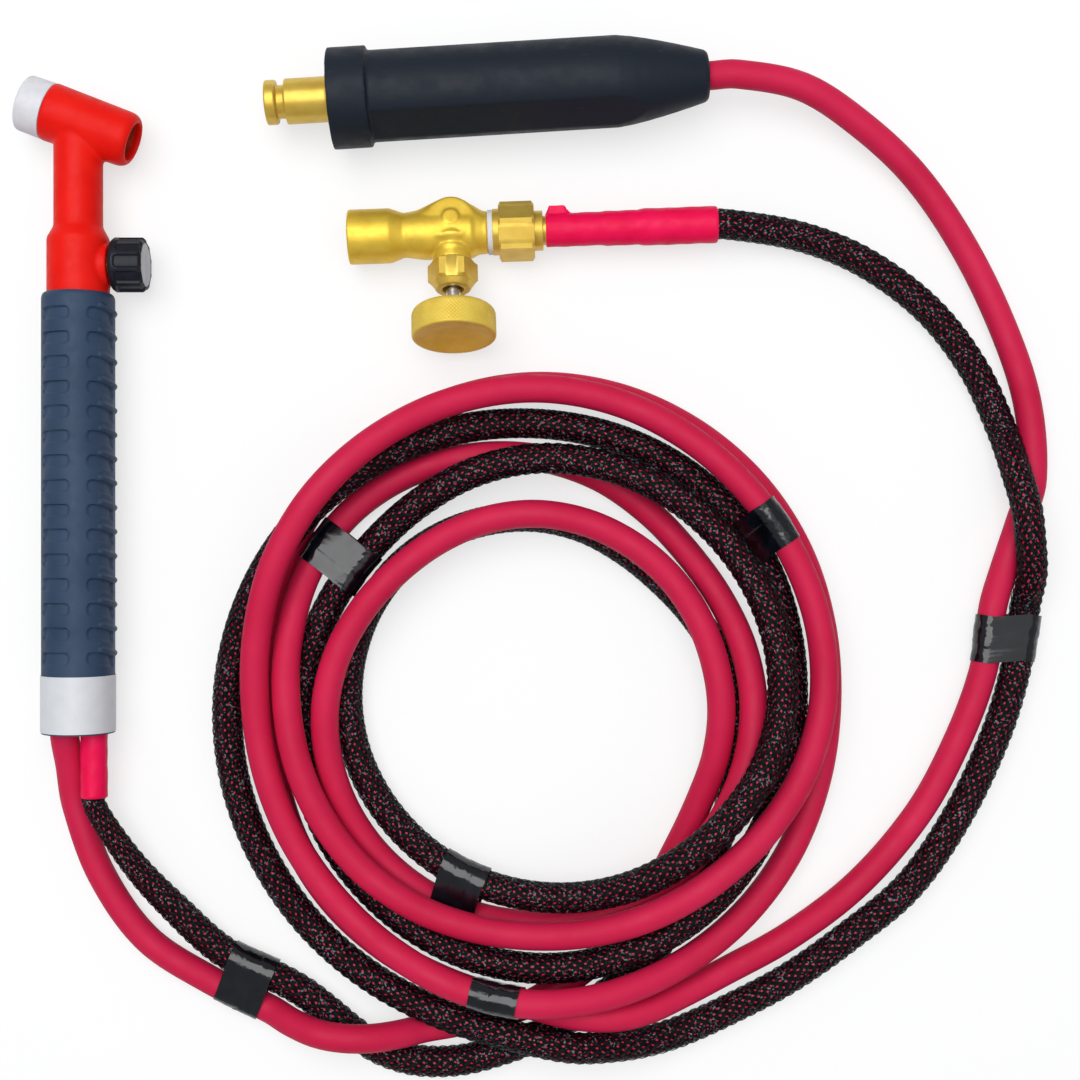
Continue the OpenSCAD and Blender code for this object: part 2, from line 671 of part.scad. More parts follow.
// Cords
down_handle = [0, -1, 0];
plug_back = -[cos(plug_turn), sin(plug_turn), 0];
valve_back = -[cos(valve_turn), sin(valve_turn), 0];
module cable_lead() color("crimson")
    cord_tube(cable_lead_points, cable_d, down_handle, coil_heading(cable_loops, false));
module cable_coil() color("crimson")
    cord_tube(cable_loops, cable_d, coil_heading(cable_loops, false), coil_heading(cable_loops, true));
module cable_tail() color("crimson")
    cord_tube(cable_tail_points, cable_d, coil_heading(cable_loops, true), plug_back);
module hose_lead() color("black")
    cord_tube(hose_lead_points, hose_d, down_handle, coil_heading(hose_loops, false));
module hose_coil() color("black")
    cord_tube(hose_loops, hose_d, coil_heading(hose_loops, false), coil_heading(hose_loops, true));
module hose_tail() color("black")
    cord_tube(hose_tail_points, hose_d, coil_heading(hose_loops, true), valve_back);
// Rings of the coils that the tape bands sit between
module coil_tape(cable_ring, other, other_d, other_ring) color("dimgray") tape(
    cable_loops[cable_ring], cable_loops[cable_ring + 1], cable_d, other[other_ring], other[other_ring + 1], other_d);
module tape_lead() color("dimgray") tape(cable_lead_points[7], cable_lead_points[8], cable_d,
    hose_lead_points[5], hose_lead_points[6], hose_d);
module tape_coil_bottom() coil_tape(3 * rings_a_turn - 1, cable_loops, cable_d, 4 * rings_a_turn - 1);
module tape_coil_left() coil_tape(rings_a_turn + 15, hose_loops, hose_d, rings_a_turn + 15);
module tape_coil_right() coil_tape(2 * rings_a_turn + 8, hose_loops, hose_d, 2 * rings_a_turn + 8);
module tape_coil_inner() coil_tape(rings_a_turn - 2, hose_loops, hose_d, rings_a_turn - 2);
module tape_tail() color("dimgray") tape(cable_tail_points[10], cable_tail_points[11], cable_d,
    hose_tail_points[11], hose_tail_points[12], hose_d);

// Plug
// Half of the section through the plug's tapering end: it eases in from the body and has a rounded rim
module plug_end_profile() polygon(concat([[0, taper_start - lap], [plug_d / 2, taper_start - lap]], [
    for (i = [0 : taper_steps]) let (t = i / taper_steps)
        [plug_d / 2 - (plug_d - plug_end_d) / 2 * pow(t, taper_ease), taper_start + t * (plug_taper - end_edge)]
], [[plug_end_d / 2 - end_edge, plug_end], [0, plug_end]]));
module plug_body() color("black") plug_axis() difference() {
    union() {
        rod(pin_len, flange_end, flange_d);
        rod(flange_end - eps, taper_start, plug_d);
        rotate_extrude() plug_end_profile();
    }
    for (roll = [0, 180]) rotate([0, 0, flat_roll + roll]) translate([flat_at, -plug_d, flange_end + flat_gap])
        cube([plug_d, 2 * plug_d, plug_len + plug_taper]);
    rod(pin_len - eps, pin_len + pin_collar_len / 2, pin_collar_d + 2 * fit);
    rod(pin_len, pin_shank_end + fit, pin_shank_d + 2 * fit);
    rod(pin_shank_end - eps, plug_end + eps, cable_d + 2 * cord_fit);
}
module plug_pin() color("gold") plug_axis() difference() {
    union() {
        rod(0, pin_head_len, pin_head_d);
        rod(pin_head_len, pin_head_len + pin_groove_len, pin_groove_d);
        rod(pin_head_len + pin_groove_len, collar_start, pin_d);
        rod(collar_start, collar_start + pin_collar_len, pin_collar_d);
        rod(collar_start + pin_collar_len, pin_shank_end, pin_shank_d);
    }
    rod(cable_seat, pin_shank_end + eps, cable_d + 2 * cord_fit);
    translate([0, 0, screw_x]) along_x() rod(0, pin_shank_d, screw_d + 2 * fit);
}
module plug_screw() color("dimgray") plug_axis() translate([0, 0, screw_x]) along_x() difference() {
    rod(cable_d / 2 + cord_fit, screw_top, screw_d);
    translate([0, 0, screw_top - screw_key_depth]) cylinder(d = screw_key_d, h = screw_key_depth + eps, $fn = 6);
}

// Gas valve
// The round bulge of the casting, on the side away from the branch, and the web that runs up to it
module dome_web() hull() {
    $fn = 32;
    translate([0, dome_rise, 0]) {
        rod(dome_edge - dome_t / 2, dome_t / 2 - dome_edge, dome_d);
        rod(-dome_t / 2, dome_t / 2, dome_d - 2 * dome_edge);
    }
    along_x() rod(web_from, web_from + lap, run_d);
}
module gas_valve_body() color("gold") difference() {
    union() {
        run_axis() rod(inlet_end, inlet_end + inlet_len, inlet_d);
        run_axis() taper_rod(inlet_end + inlet_len, inlet_end + inlet_len + inlet_taper, inlet_d, run_d);
        run_axis() rod(inlet_end + inlet_len - lap, run_right, run_d);
        run_axis() rod(run_right - lap, outlet_end, outlet_d);
        run_axis() taper_rod(barrel_from - barrel_rise, barrel_from, run_d, barrel_d);
        run_axis() rod(barrel_from, barrel_to, barrel_d);
        run_axis() taper_rod(barrel_to, barrel_to + barrel_fall, barrel_d, run_d);
        gas_valve() dome_web();
        gas_valve() translate([0, mark_off, 0]) rod(0, dome_t / 2 + mark_h, mark_d);
        branch_axis() rod(0, branch_end, branch_d);
        branch_axis() taper_rod(flare_from, flare_end, branch_d + 2 * flare_w, branch_d);
        branch_axis() rod(bead_start, bead_start + bead_w, branch_d + 2 * bead_h);
    }
    run_axis() rod(inlet_end - eps, inlet_end + inlet_bore_len, inlet_bore_d);
    run_axis() rod(inlet_end, 0, inlet_way_d);
    run_axis() rod(0, outlet_end + eps, outlet_way_d);
    branch_axis() rod(seat_y, branch_end + eps, spindle_d + 2 * run_fit);
}
module hex_nut(from, to, af) intersection() {
    rotate([0, 0, nut_roll]) translate([0, 0, from]) cylinder(d = af / cos(30), h = to - from, $fn = 6);
    union() {
        taper_rod(from, from + nut_edge, af - 2 * nut_edge_in, af + 2 * nut_edge);
        rod(from + nut_edge, to - nut_edge, af + 2 * nut_edge);
        taper_rod(to - nut_edge, to, af + 2 * nut_edge, af - 2 * nut_edge_in);
    }
}
module packing_nut() color("gold") branch_axis() difference() {
    union() {
        hex_nut(packing_start, packing_start + packing_hex_len, packing_af);
        taper_rod(packing_start + packing_hex_len - lap, packing_start + packing_len,
            packing_af - 2 * packing_step, packing_end_d);
    }
    rod(packing_start - eps, packing_start + packing_len + eps, spindle_d + 2 * run_fit);
    rod(packing_start - eps, packing_start + packing_ring_t, spindle_d + 2 * packing_ring_w);
    rod(packing_start + packing_len - packing_mouth, packing_start + packing_len + eps, packing_mouth_d);
}
module packing_ring() color("dimgray") branch_axis()
    sleeve(packing_start, packing_start + packing_ring_t, spindle_d + 2 * packing_ring_w - 2 * fit,
        spindle_d + 2 * run_fit);
module gas_valve_stem() color("silver") branch_axis() {
    point_end = seat_y + spindle_point_gap + spindle_point_len;
    taper_rod(seat_y + spindle_point_gap, point_end, spindle_point_d, spindle_d);
    rod(point_end, spindle_end, spindle_d);
}
// Half of the wheel's section: a round back edge and a hollow face
module wheel_profile() polygon(concat([[0, wheel_start], [wheel_d / 2 - wheel_edge, wheel_start]], [
    for (a = [round_step : round_step : 90])
        [wheel_d / 2 - wheel_edge * (1 - sin(a)), wheel_start + wheel_edge * (1 - cos(a))]
], [[wheel_d / 2, wheel_end]], [
    for (i = [dish_steps : -1 : 0])
        [i / dish_steps * (wheel_d / 2 - dish_rim), wheel_end - dish_depth * (1 - pow(i / dish_steps, 2))]
]));
module hand_wheel() color("gold") branch_axis() difference() {
    rotate_extrude() wheel_profile();
    rod(wheel_start - eps, spindle_end + bore_end_gap, spindle_d + 2 * run_fit);
}
module outlet_washer() color("white") run_axis()
    sleeve(run_right, run_right + washer_t, washer_d, outlet_d + 2 * fit);
module hose_nut() color("gold") run_axis() difference() {
    union() {
        hex_nut(nut_start + collar_in_len, nut_end - collar_out_len, nut_af);
        rod(nut_start, nut_start + collar_in_len + lap, collar_in_d);
        rod(nut_end - collar_out_len - lap, nut_end, collar_out_d);
    }
    rod(nut_start - eps, nut_end - nut_wall, outlet_d + 2 * fit);
    rod(nut_start, nut_end + eps, nipple_d + 2 * fit);
}
module hose_nipple() color("darkgoldenrod") run_axis() difference() {
    union() {
        rod(outlet_end, nut_end - nut_wall, outlet_d - 2 * fit);
        rod(nut_end - nut_wall, nipple_end, nipple_d);
        rod(nipple_end, nipple_tail_end, core_bore_d - 2 * fit);
    }
    rod(outlet_end - eps, nipple_tail_end + eps, gas_way_d);
}
module hose_core_valve() color("firebrick") run_axis()
    sleeve(nipple_end, valve_core_end, core_d, core_bore_d);
module hose_clamp() color("silver") run_axis() difference() {
    union() {
        rod(clamp_start, clamp_start + clamp_len, core_d + 2 * fit + 2 * clamp_t);
        translate([-ear_top, -ear_w / 2, clamp_start]) cube([ear_top, ear_w, clamp_len]);
    }
    rod(clamp_start - eps, clamp_start + clamp_len + eps, core_d + 2 * fit);
}
module shrink_sleeve_valve() color("deeppink") run_axis() difference() {
    outer = hose_d + 2 * cord_fit + 2 * shrink_t;
    bump_w = ear_w + 2 * shrink_t + 2 * cord_fit;
    union() {
        rod(nipple_end, valve_shrink_end, outer);
        translate([-ear_top - shrink_t - cord_fit, -bump_w / 2, clamp_start - bump_past])
            cube([ear_top, bump_w, clamp_len + 2 * bump_past]);
    }
    rod(nipple_end - eps, valve_core_end + eps, core_d + 2 * fit);
    rod(valve_core_end, valve_shrink_end + eps, hose_d + 2 * cord_fit);
    rod(clamp_start - fit, clamp_start + clamp_len + fit, core_d + 4 * fit + 2 * clamp_t);
    translate([-ear_top - cord_fit, -ear_w / 2 - cord_fit, clamp_start - cord_fit])
        cube([ear_top, ear_w + 2 * cord_fit, clamp_len + 2 * cord_fit]);
}

handle();
label_band();
torch_cover();
cup_gasket();
head_insert();
neck_tube();
valve_block();
stem_gland();
stem_seal();
torch_stem();
torch_knob();
power_connector();
hose_barb();
hose_core_torch();
hose_crimp();
shrink_sleeve_torch();
cable_lead();
cable_coil();
cable_tail();
hose_lead();
hose_coil();
hose_tail();
tape_lead();
tape_coil_bottom();
tape_coil_left();
tape_coil_right();
tape_coil_inner();
tape_tail();
plug_body();
plug_pin();
plug_screw();
gas_valve_body();
packing_nut();
packing_ring();
gas_valve_stem();
hand_wheel();
outlet_washer();
hose_nut();
hose_nipple();
hose_core_valve();
hose_clamp();
shrink_sleeve_valve();
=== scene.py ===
"""Looks of the welding torch: its cords, grip, red cover, brass and rubber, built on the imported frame."""
import math

import bmesh
import bpy
import numpy as np
from mathutils import Matrix, Vector, noise


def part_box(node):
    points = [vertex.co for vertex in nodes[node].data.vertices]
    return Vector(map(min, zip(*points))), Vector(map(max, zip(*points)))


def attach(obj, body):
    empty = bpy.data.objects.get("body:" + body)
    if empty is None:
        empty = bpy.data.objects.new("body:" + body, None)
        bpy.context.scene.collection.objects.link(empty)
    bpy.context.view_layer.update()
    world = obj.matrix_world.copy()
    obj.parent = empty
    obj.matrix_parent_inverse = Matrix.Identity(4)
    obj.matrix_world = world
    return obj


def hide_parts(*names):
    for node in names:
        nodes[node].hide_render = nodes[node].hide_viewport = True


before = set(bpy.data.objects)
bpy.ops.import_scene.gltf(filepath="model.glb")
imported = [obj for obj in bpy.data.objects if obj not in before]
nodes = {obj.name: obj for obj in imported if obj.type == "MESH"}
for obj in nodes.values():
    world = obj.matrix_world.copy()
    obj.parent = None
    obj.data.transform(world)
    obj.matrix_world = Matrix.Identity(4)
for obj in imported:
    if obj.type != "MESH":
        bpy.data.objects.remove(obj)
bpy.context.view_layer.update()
scene = bpy.context.scene
MM = 0.001

# Camera: straight down, at the photograph's height and angle of view
CAMERA_AT = (155.0, -45.8, 570.0)
CAMERA_ANGLE = 36.2
CAMERA_NEAR = 0.01

# Cord sizes, in millimetres
CABLE_D = 9.5
HOSE_D = 10.6

# Free stretches of the cords, point by point, as in the part's source
CABLE_LEAD = [
    (-4.8, -122, 8.5), (-3.5, -136, 5.5), (5, -160, 4.9), (20.5, -182, 4.8), (42, -196, 5.1),
    (62.5, -206, 5.1), (71, -209.4, 10), (80, -211.6, 14.9), (89, -212.8, 16.4), (98, -213.2, 15.2),
    (107, -213, 11.4), (116, -212.3, 6.2), (126, -210.9, 4.9), (139, -207.8, 4.8),
]
HOSE_LEAD = [
    (10, -145, 11), (18.5, -158, 8), (29, -170, 6), (46.8, -186.2, 5.6), (67.3, -196.2, 5.6),
    (75, -200.8, 5.3), (83, -207, 5.3), (91.5, -214, 5.3), (101, -220, 5.3), (113, -223.6, 5.3),
    (127, -223.6, 5.3), (140, -220.6, 5.3),
]
CABLE_TAIL = [
    (167, -205.3, 16.3), (180, -206, 15.8), (191, -204.3, 13), (203, -200.3, 8), (216, -194.5, 4.8),
    (240.5, -181, 4.8), (264, -163, 4.8), (284.5, -139, 4.8), (297.5, -115, 4.8), (306.5, -90.5, 5.1),
    (310, -68, 5.1), (314, -55, 4.8), (319, -40, 4.8), (323.5, -25, 4.8), (321.5, 2, 4.8),
    (312.3, 29.4, 4.8), (298.6, 56.8, 4.8), (282, 79.5, 6.5), (262, 96, 11), (243, 106.5, 15),
]
HOSE_TAIL = [
    (167, -216, 16.5), (180, -216.5, 13), (191, -216, 9), (203, -213.5, 5.6), (220, -206, 5.3),
    (240, -195.5, 5.3), (260, -181.5, 5.3), (281, -164, 5.3), (298, -139.5, 5.3), (310.5, -113, 5.3),
    (317.3, -90.5, 5.6), (320.8, -68, 5.6), (321, -57, 12.5), (319.5, -45, 15.7), (318.3, -35, 15.6),
    (315.8, -23, 12.2), (312.5, -8, 6), (303, 13, 5.3), (287.5, 33, 5.3), (266, 49, 5.3),
    (244, 57.6, 6.5),
]
# Coil: its centre and, for each eighth of a turn from the bottom, a cord's radius and height
COIL_AT = (153.3, -102)
COIL_START = 270
EIGHTH = 45
CABLE_LAY = [
    (152, 4.8), (101.5, 4.8), (69, 4.8), (62.5, 16), (63, 16), (65, 16), (65, 16), (70.5, 14.5),
    (74, 7), (74.5, 8.2), (73, 16.5), (73.5, 15), (73.5, 4.8), (84.5, 4.8), (91, 5.5), (83, 17.2),
    (79, 17), (76, 18.7), (81, 26), (96.5, 15.5), (102, 16), (107, 16), (101.5, 27.8), (93.5, 17.5),
    (93, 16), (96.5, 27), (100.5, 8), (100, 4.8), (106.5, 4.8), (109, 4.8), (102.5, 4.8), (92, 4.8),
    (96.5, 4.8), (100, 16.5), (123, 4.8),
]
HOSE_LAY = [
    (160.5, 5.3), (113.5, 5.3), (81.5, 5.3), (68.5, 5.3), (60.5, 5.3), (64, 5.3), (66, 5.3), (64, 5.3),
    (62, 7), (63.5, 15), (69, 28), (81.5, 24.5), (84.5, 21), (83.5, 16.5), (77.5, 8.2), (80, 5.3),
    (84.5, 5.3), (87.5, 15.5), (88, 15.5), (88, 6), (93.5, 6), (96, 5.5), (100, 17), (104.5, 8.5),
    (107.5, 5.3), (111.5, 17), (143, 5.3),
]
RING_STEP = 15

# Places of the torch, the plug and the gas valve, in millimetres and degrees
label_low, label_high = (Vector(corner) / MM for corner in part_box("label_band"))
handle_low, handle_high = (Vector(corner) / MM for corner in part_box("handle"))
HANDLE_LEN = handle_high.y - handle_low.y
TORCH_AT = Vector(((label_low.x + label_high.x) / 2, handle_low.y, (label_low.z + label_high.z) / 2))
CABLE_OFF = -4.7
HOSE_OFF = 5.3
HOSE_OUT = -20
PLUG_AT = Vector((63.3, 100.6, 16.6))
PLUG_TURN = 3.5
PLUG_END = 148.2
PLUG_SEAT = 33.7
VALVE_AT = Vector((125.2, 57.9, 10.6))
VALVE_TURN = 2
VALVE_ROLL = 16
SLEEVE_END = 89.8
CORE_END = 85.8
VALVE_Y = 157.75
HEAD_Y = 206
HEAD_TILT = 20


def turn(axis, degrees):
    return Matrix.Rotation(math.radians(degrees), 4, axis)


# Frames whose Z runs along each piece's axis
TORCH = Matrix.Translation(TORCH_AT)
GRIP_AXIS = TORCH @ turn("X", -90)
KNOB_AXIS = TORCH @ Matrix.Translation((0, VALVE_Y, 0)) @ turn("Y", 90)
HEAD_AXIS = TORCH @ Matrix.Translation((0, HEAD_Y, 0)) @ turn("Z", 180 - HEAD_TILT) @ turn("Y", 90)
HOSE_AXIS = TORCH @ Matrix.Translation((HOSE_OFF, 0, 0)) @ turn("X", -90)
PLUG_AXIS = Matrix.Translation(PLUG_AT) @ turn("Z", PLUG_TURN) @ turn("Y", 90)
GAS_VALVE = Matrix.Translation(VALVE_AT) @ turn("Z", VALVE_TURN) @ turn("X", -VALVE_ROLL)
RUN_AXIS = GAS_VALVE @ turn("Y", 90)
BRANCH_AXIS = GAS_VALVE @ turn("X", 90)


# Materials

def srgb(red, green, blue):
    """A colour given as 0 to 255 on screen, as linear light."""
    def linear(v):
        v = v / 255
        return v / 12.92 if v <= 0.04045 else ((v + 0.055) / 1.055) ** 2.4
    return (linear(red), linear(green), linear(blue), 1.0)


class Shader:
    """A material on the Principled shader, with short ways to add nodes to it."""

    def __init__(self, name, colour, roughness, metallic=0.0, **sockets):
        self.material = bpy.data.materials.new(name)
        self.material.use_nodes = True
        self.tree = self.material.node_tree
        self.bsdf = self.tree.nodes["Principled BSDF"]
        self.set(self.bsdf, {"Base Color": colour, "Roughness": roughness, "Metallic": metallic, **sockets})
        self.material.diffuse_color = colour
        self.place = self.add("ShaderNodeTexCoord").outputs["Object"]
        self.height = None

    @staticmethod
    def set(node, values):
        for key, value in values.items():
            node.inputs[key].default_value = value

    def add(self, kind, inputs=None, **attributes):
        node = self.tree.nodes.new(kind)
        for key, value in attributes.items():
            setattr(node, key, value)
        self.set(node, inputs or {})
        return node

    def link(self, start, end):
        self.tree.links.new(start, end)

    def noise(self, size, detail=3.0, roughness=0.5, stretch=None, distortion=0.0):
        """Noise whose patches are about size millimetres across, from 0 to 1."""
        node = self.add("ShaderNodeTexNoise", {
            "Scale": 1 / (size * MM), "Detail": detail, "Roughness": roughness, "Distortion": distortion})
        place = self.place
        if stretch is not None:
            mapping = self.add("ShaderNodeMapping", {"Scale": stretch})
            self.link(place, mapping.inputs["Vector"])
            place = mapping.outputs["Vector"]
        self.link(place, node.inputs["Vector"])
        return node.outputs["Fac"]

    def ramp(self, value, low, high, start=0.0, end=1.0):
        """value from low to high, taken to start to end."""
        node = self.add("ShaderNodeMapRange", {
            "From Min": low, "From Max": high, "To Min": start, "To Max": end})
        self.link(value, node.inputs["Value"])
        return node.outputs["Result"]

    def mix(self, factor, one, two):
        """Colour one where factor is 0, and colour two where it is 1."""
        node = self.add("ShaderNodeMix", data_type="RGBA")
        self.link(factor, node.inputs["Factor"])
        for socket, value in ((node.inputs[6], one), (node.inputs[7], two)):
            if isinstance(value, tuple):
                socket.default_value = value
            else:
                self.link(value, socket)
        return node.outputs[2]

    def colour(self, output):
        self.link(output, self.bsdf.inputs["Base Color"])

    def rough(self, output):
        self.link(output, self.bsdf.inputs["Roughness"])

    def bump(self, value, depth):
        """Relief of depth millimetres, on top of what was there before."""
        node = self.add("ShaderNodeBump", {"Strength": 1.0, "Distance": depth * MM})
        self.link(value, node.inputs["Height"])
        if self.height is not None:
            self.link(self.height, node.inputs["Normal"])
        self.height = node.outputs["Normal"]
        self.link(self.height, self.bsdf.inputs["Normal"])


# The part of a noise's range that most of it falls in
SPREAD = (0.3, 0.7)
# How far worn metal goes below and above its roughness
WEAR = (-0.06, 0.08)


def grain(size, **more):
    """The settings of a noise, for Shader.noise."""
    return dict(size=size, **more)


def mottled(name, colour, roughness, specular, patches=None, gloss=None, relief=(), metallic=0.0):
    """A material with two tones in patches, uneven gloss and fine relief.

    patches is (grain, low, high, first tone, second tone), gloss is (grain, least roughness, most
    roughness), and relief lists (grain, depth in millimetres).
    """
    shade = Shader(name, srgb(*colour), roughness, metallic, **{"Specular IOR Level": specular})
    if patches:
        spots, low, high, first, second = patches
        shade.colour(shade.mix(shade.ramp(shade.noise(**spots), low, high), srgb(*first), srgb(*second)))
    if gloss:
        spots, least, most = gloss
        shade.rough(shade.ramp(shade.noise(**spots), *SPREAD, least, most))
    for spots, depth in relief:
        shade.bump(shade.noise(**spots), depth)
    return shade.material


def braid_material():
    """Black filament: sheen along the strands, pale flecks painted as glints, and fine threads."""
    black = srgb(5, 7, 12)
    shade = Shader("braid_filament", srgb(10, 11, 15), 0.28, **{"IOR": 1.2, "Anisotropic": 0.9})
    thread = shade.add("ShaderNodeUVMap", uv_map="OFBake").outputs["UV"]
    wave = shade.add("ShaderNodeTexWave", {"Scale": 0.6, "Distortion": 0.4, "Detail": 1.0},
                     bands_direction="Y")
    shade.link(thread, wave.inputs["Vector"])
    run = shade.add("ShaderNodeTangent", direction_type="UV_MAP", uv_map="OFBake")
    shade.link(run.outputs["Tangent"], shade.bsdf.inputs["Tangent"])
    # Pale grey flecks in noisy patches: painted glints standing in for the filaments' highlights.
    painted_glints = shade.mix(shade.ramp(shade.noise(0.9, detail=1), 0.6, 0.65), black, srgb(120, 124, 134))
    shade.colour(shade.mix(shade.ramp(shade.noise(3), 0.45, 0.6), black, painted_glints))
    shade.bump(wave.outputs["Fac"], 0.06)
    return shade.material


def worn(roughness):
    return [roughness + change for change in WEAR]


def brass(name, colour, dark, roughness, size, depth, metallic=0.5):
    return mottled(name, colour, roughness, 0.3, patches=(grain(6, detail=5), 0.35, 0.75, colour, dark),
                   gloss=(grain(2, detail=4), *worn(roughness)), relief=[(grain(size), depth)],
                   metallic=metallic)


def metal(name, colour, roughness):
    return mottled(name, colour, roughness, 0.5, gloss=(grain(1.5, detail=4), *worn(roughness)),
                   relief=[(grain(0.4), 0.01)], metallic=1.0)


def rubber(name, colour):
    return mottled(name, colour, 0.55, 0.3, gloss=(grain(2), 0.45, 0.62), relief=[(grain(0.5), 0.015)])


GRIP = mottled("grip_plastic", (48, 67, 92), 0.5, 0.22,
               patches=(grain(14), *SPREAD, (43, 62, 87), (53, 72, 97)),
               gloss=(grain(3), 0.42, 0.58), relief=[(grain(0.5, detail=4), 0.03)])
COVER = mottled("cover_plastic", (234, 22, 12), 0.45, 0.14,
                patches=(grain(9), *SPREAD, (230, 17, 8), (238, 27, 16)),
                gloss=(grain(2.5), 0.38, 0.52), relief=[(grain(1.6), 0.03), (grain(0.3), 0.008)])
LABEL = mottled("label_film", (214, 216, 221), 0.35, 0.4,
                patches=(grain(5), 0.35, 0.65, (212, 214, 219), (217, 219, 223)),
                relief=[(grain(4), 0.015)])
GASKET = mottled("gasket_white", (222, 222, 227), 0.42, 0.35,
                 patches=(grain(4), 0.35, 0.7, (216, 216, 222), (227, 226, 230)),
                 relief=[(grain(0.6), 0.012)])
KNOB = mottled("knob_plastic", (20, 25, 34), 0.4, 0.22,
               patches=(grain(3), *SPREAD, (18, 22, 30), (27, 32, 41)), relief=[(grain(0.4), 0.015)])
# The end cap's pale grey is a painted highlight on the knob's face.
KNOB_CAP_HIGHLIGHT = mottled("knob_cap_painted_highlight", (180, 182, 188), 0.4, 0.4,
                   patches=(grain(4), *SPREAD, (170, 172, 178), (190, 192, 197)),
                   relief=[(grain(0.5), 0.012)])
CABLE = mottled("cable_rubber", (206, 28, 72), 0.55, 0.2,
                patches=(grain(30, detail=4), *SPREAD, (198, 22, 66), (213, 32, 78)),
                gloss=(grain(6), 0.48, 0.64), relief=[(grain(1.2), 0.03), (grain(0.3), 0.012)])
CORE = mottled("hose_rubber", (214, 20, 62), 0.45, 0.3,
               patches=(grain(4), *SPREAD, (200, 14, 52), (230, 30, 74)), relief=[(grain(0.6), 0.02)])
BRAID = braid_material()
SHRINK = mottled("shrink_film", (240, 12, 78), 0.42, 0.15,
                 patches=(grain(7), *SPREAD, (234, 8, 72), (245, 18, 86)), gloss=(grain(2.5), 0.32, 0.52),
                 relief=[(grain(3.5, stretch=(0.35, 1, 1)), 0.12), (grain(0.7), 0.02)])
TAPE = mottled("tape_vinyl", (9, 12, 20), 0.16, 0.6,
               patches=(grain(5), 0.4, 0.8, (5, 7, 13), (16, 20, 29)), gloss=(grain(4), 0.09, 0.24),
               relief=[(grain(7, distortion=0.6, stretch=(0.4, 1, 1)), 0.14), (grain(1.6), 0.01)])
PLUG_SCUFFS = grain(2.2, detail=6, roughness=0.7, stretch=(0.25, 1, 1))
PLUG = mottled("plug_rubber", (24, 32, 43), 0.5, 0.22,
               patches=(PLUG_SCUFFS, 0.62, 0.75, (23, 31, 42), (40, 48, 59)),
               gloss=(grain(5), 0.46, 0.62), relief=[(grain(0.6, detail=5), 0.035)])
CAST_BRASS = brass("cast_brass", (238, 202, 74), (222, 182, 58), 0.42, 0.35, 0.012)
TURNED_BRASS = brass("turned_brass", (222, 188, 84), (206, 168, 64), 0.34, 0.8, 0.003)
WHEEL_BRASS = brass("wheel_brass", (238, 208, 90), (222, 188, 70), 0.48, 0.3, 0.012, 0.25)
COPPER = metal("tube_copper", (214, 138, 104), 0.3)
HEAD_BRASS = metal("head_brass", (226, 104, 70), 0.5)
STEEL = metal("bright_steel", (206, 208, 212), 0.25)
SEAL = rubber("seal_rubber", (26, 26, 28))
WASHER = rubber("washer_white", (222, 222, 226))


# Building meshes

SMOOTHING = 0.5


def soft_step(value, low, high):
    t = np.clip((value - low) / (high - low), 0, 1)
    return t * t * (3 - 2 * t)


def dress(mesh, material):
    mesh.materials.clear()
    mesh.materials.append(material)


def piece(name, points, faces, material, body="torch", stands_for=(), slot=None, sharp=40):
    """A mesh piece from points in millimetres. Edges sharper than the angle stay crisp."""
    mesh = bpy.data.meshes.new(name)
    mesh.from_pydata((np.asarray(points, float) * MM).tolist(), [], faces)
    mesh.validate()
    return finish_piece(name, mesh, material, body, stands_for, sharp)


def finish_piece(name, mesh, material, body, stands_for, sharp):
    dress(mesh, material)
    mesh.polygons.foreach_set("use_smooth", [True] * len(mesh.polygons))
    mesh.set_sharp_from_angle(angle=math.radians(sharp))
    obj = bpy.data.objects.new(name, mesh)
    scene.collection.objects.link(obj)
    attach(obj, body)
    if stands_for:
        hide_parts(*stands_for)
    return obj


def grid_faces(rows, columns, first=0, wrap_rows=False):
    """Faces of a grid of points, row by row, whose columns close into a ring."""
    count = rows if wrap_rows else rows - 1
    return [
        (first + i * columns + j, first + i * columns + (j + 1) % columns,
         first + (i + 1) % rows * columns + (j + 1) % columns, first + (i + 1) % rows * columns + j)
        for i in range(count) for j in range(columns)
    ]


def end_faces(rows, columns):
    """Faces that close the first and the last ring of a grid."""
    return [tuple(range(columns))[::-1], tuple((rows - 1) * columns + j for j in range(columns))]


def rounded(corners, steps=5):
    """Corners (place, radius, edge) with each edge rounded to its size, as (place, radius) points."""
    points = []
    count = len(corners)
    for i, (x, r, edge) in enumerate(corners):
        here = np.array((x, r), float)
        if edge == 0:
            points.append(here)
            continue
        before = np.array(corners[i - 1][:2], float) - here
        after = np.array(corners[(i + 1) % count][:2], float) - here
        before = before / np.linalg.norm(before)
        after = after / np.linalg.norm(after)
        for t in np.linspace(0, 1, steps):
            points.append(here + edge * ((1 - t) ** 2 * before + t ** 2 * after))
    return points


def turned_points(axis, angle, place, radius):
    """Points at angles, places and radii about a frame's Z axis."""
    local = np.stack([radius * np.cos(angle), radius * np.sin(angle), place, np.ones_like(place)], axis=-1)
    return (local.reshape(-1, 4) @ np.array(axis).T)[:, :3]


def revolve(name, axis, corners, material, columns=96, shape=None, **kept):
    """A turned piece about axis, with a closed profile. shape changes the radius by angle and place."""
    profile = np.array(rounded(corners))
    angles = np.linspace(0, 2 * math.pi, columns, endpoint=False)
    place = np.repeat(profile[:, :1], columns, axis=1)
    radius = np.repeat(profile[:, 1:], columns, axis=1)
    angle = np.repeat(angles[None, :], len(profile), axis=0)
    if shape is not None:
        radius = shape(angle, place, radius)
    faces = grid_faces(len(profile), columns, wrap_rows=True)
    return piece(name, turned_points(axis, angle, place, radius), faces, material, **kept)


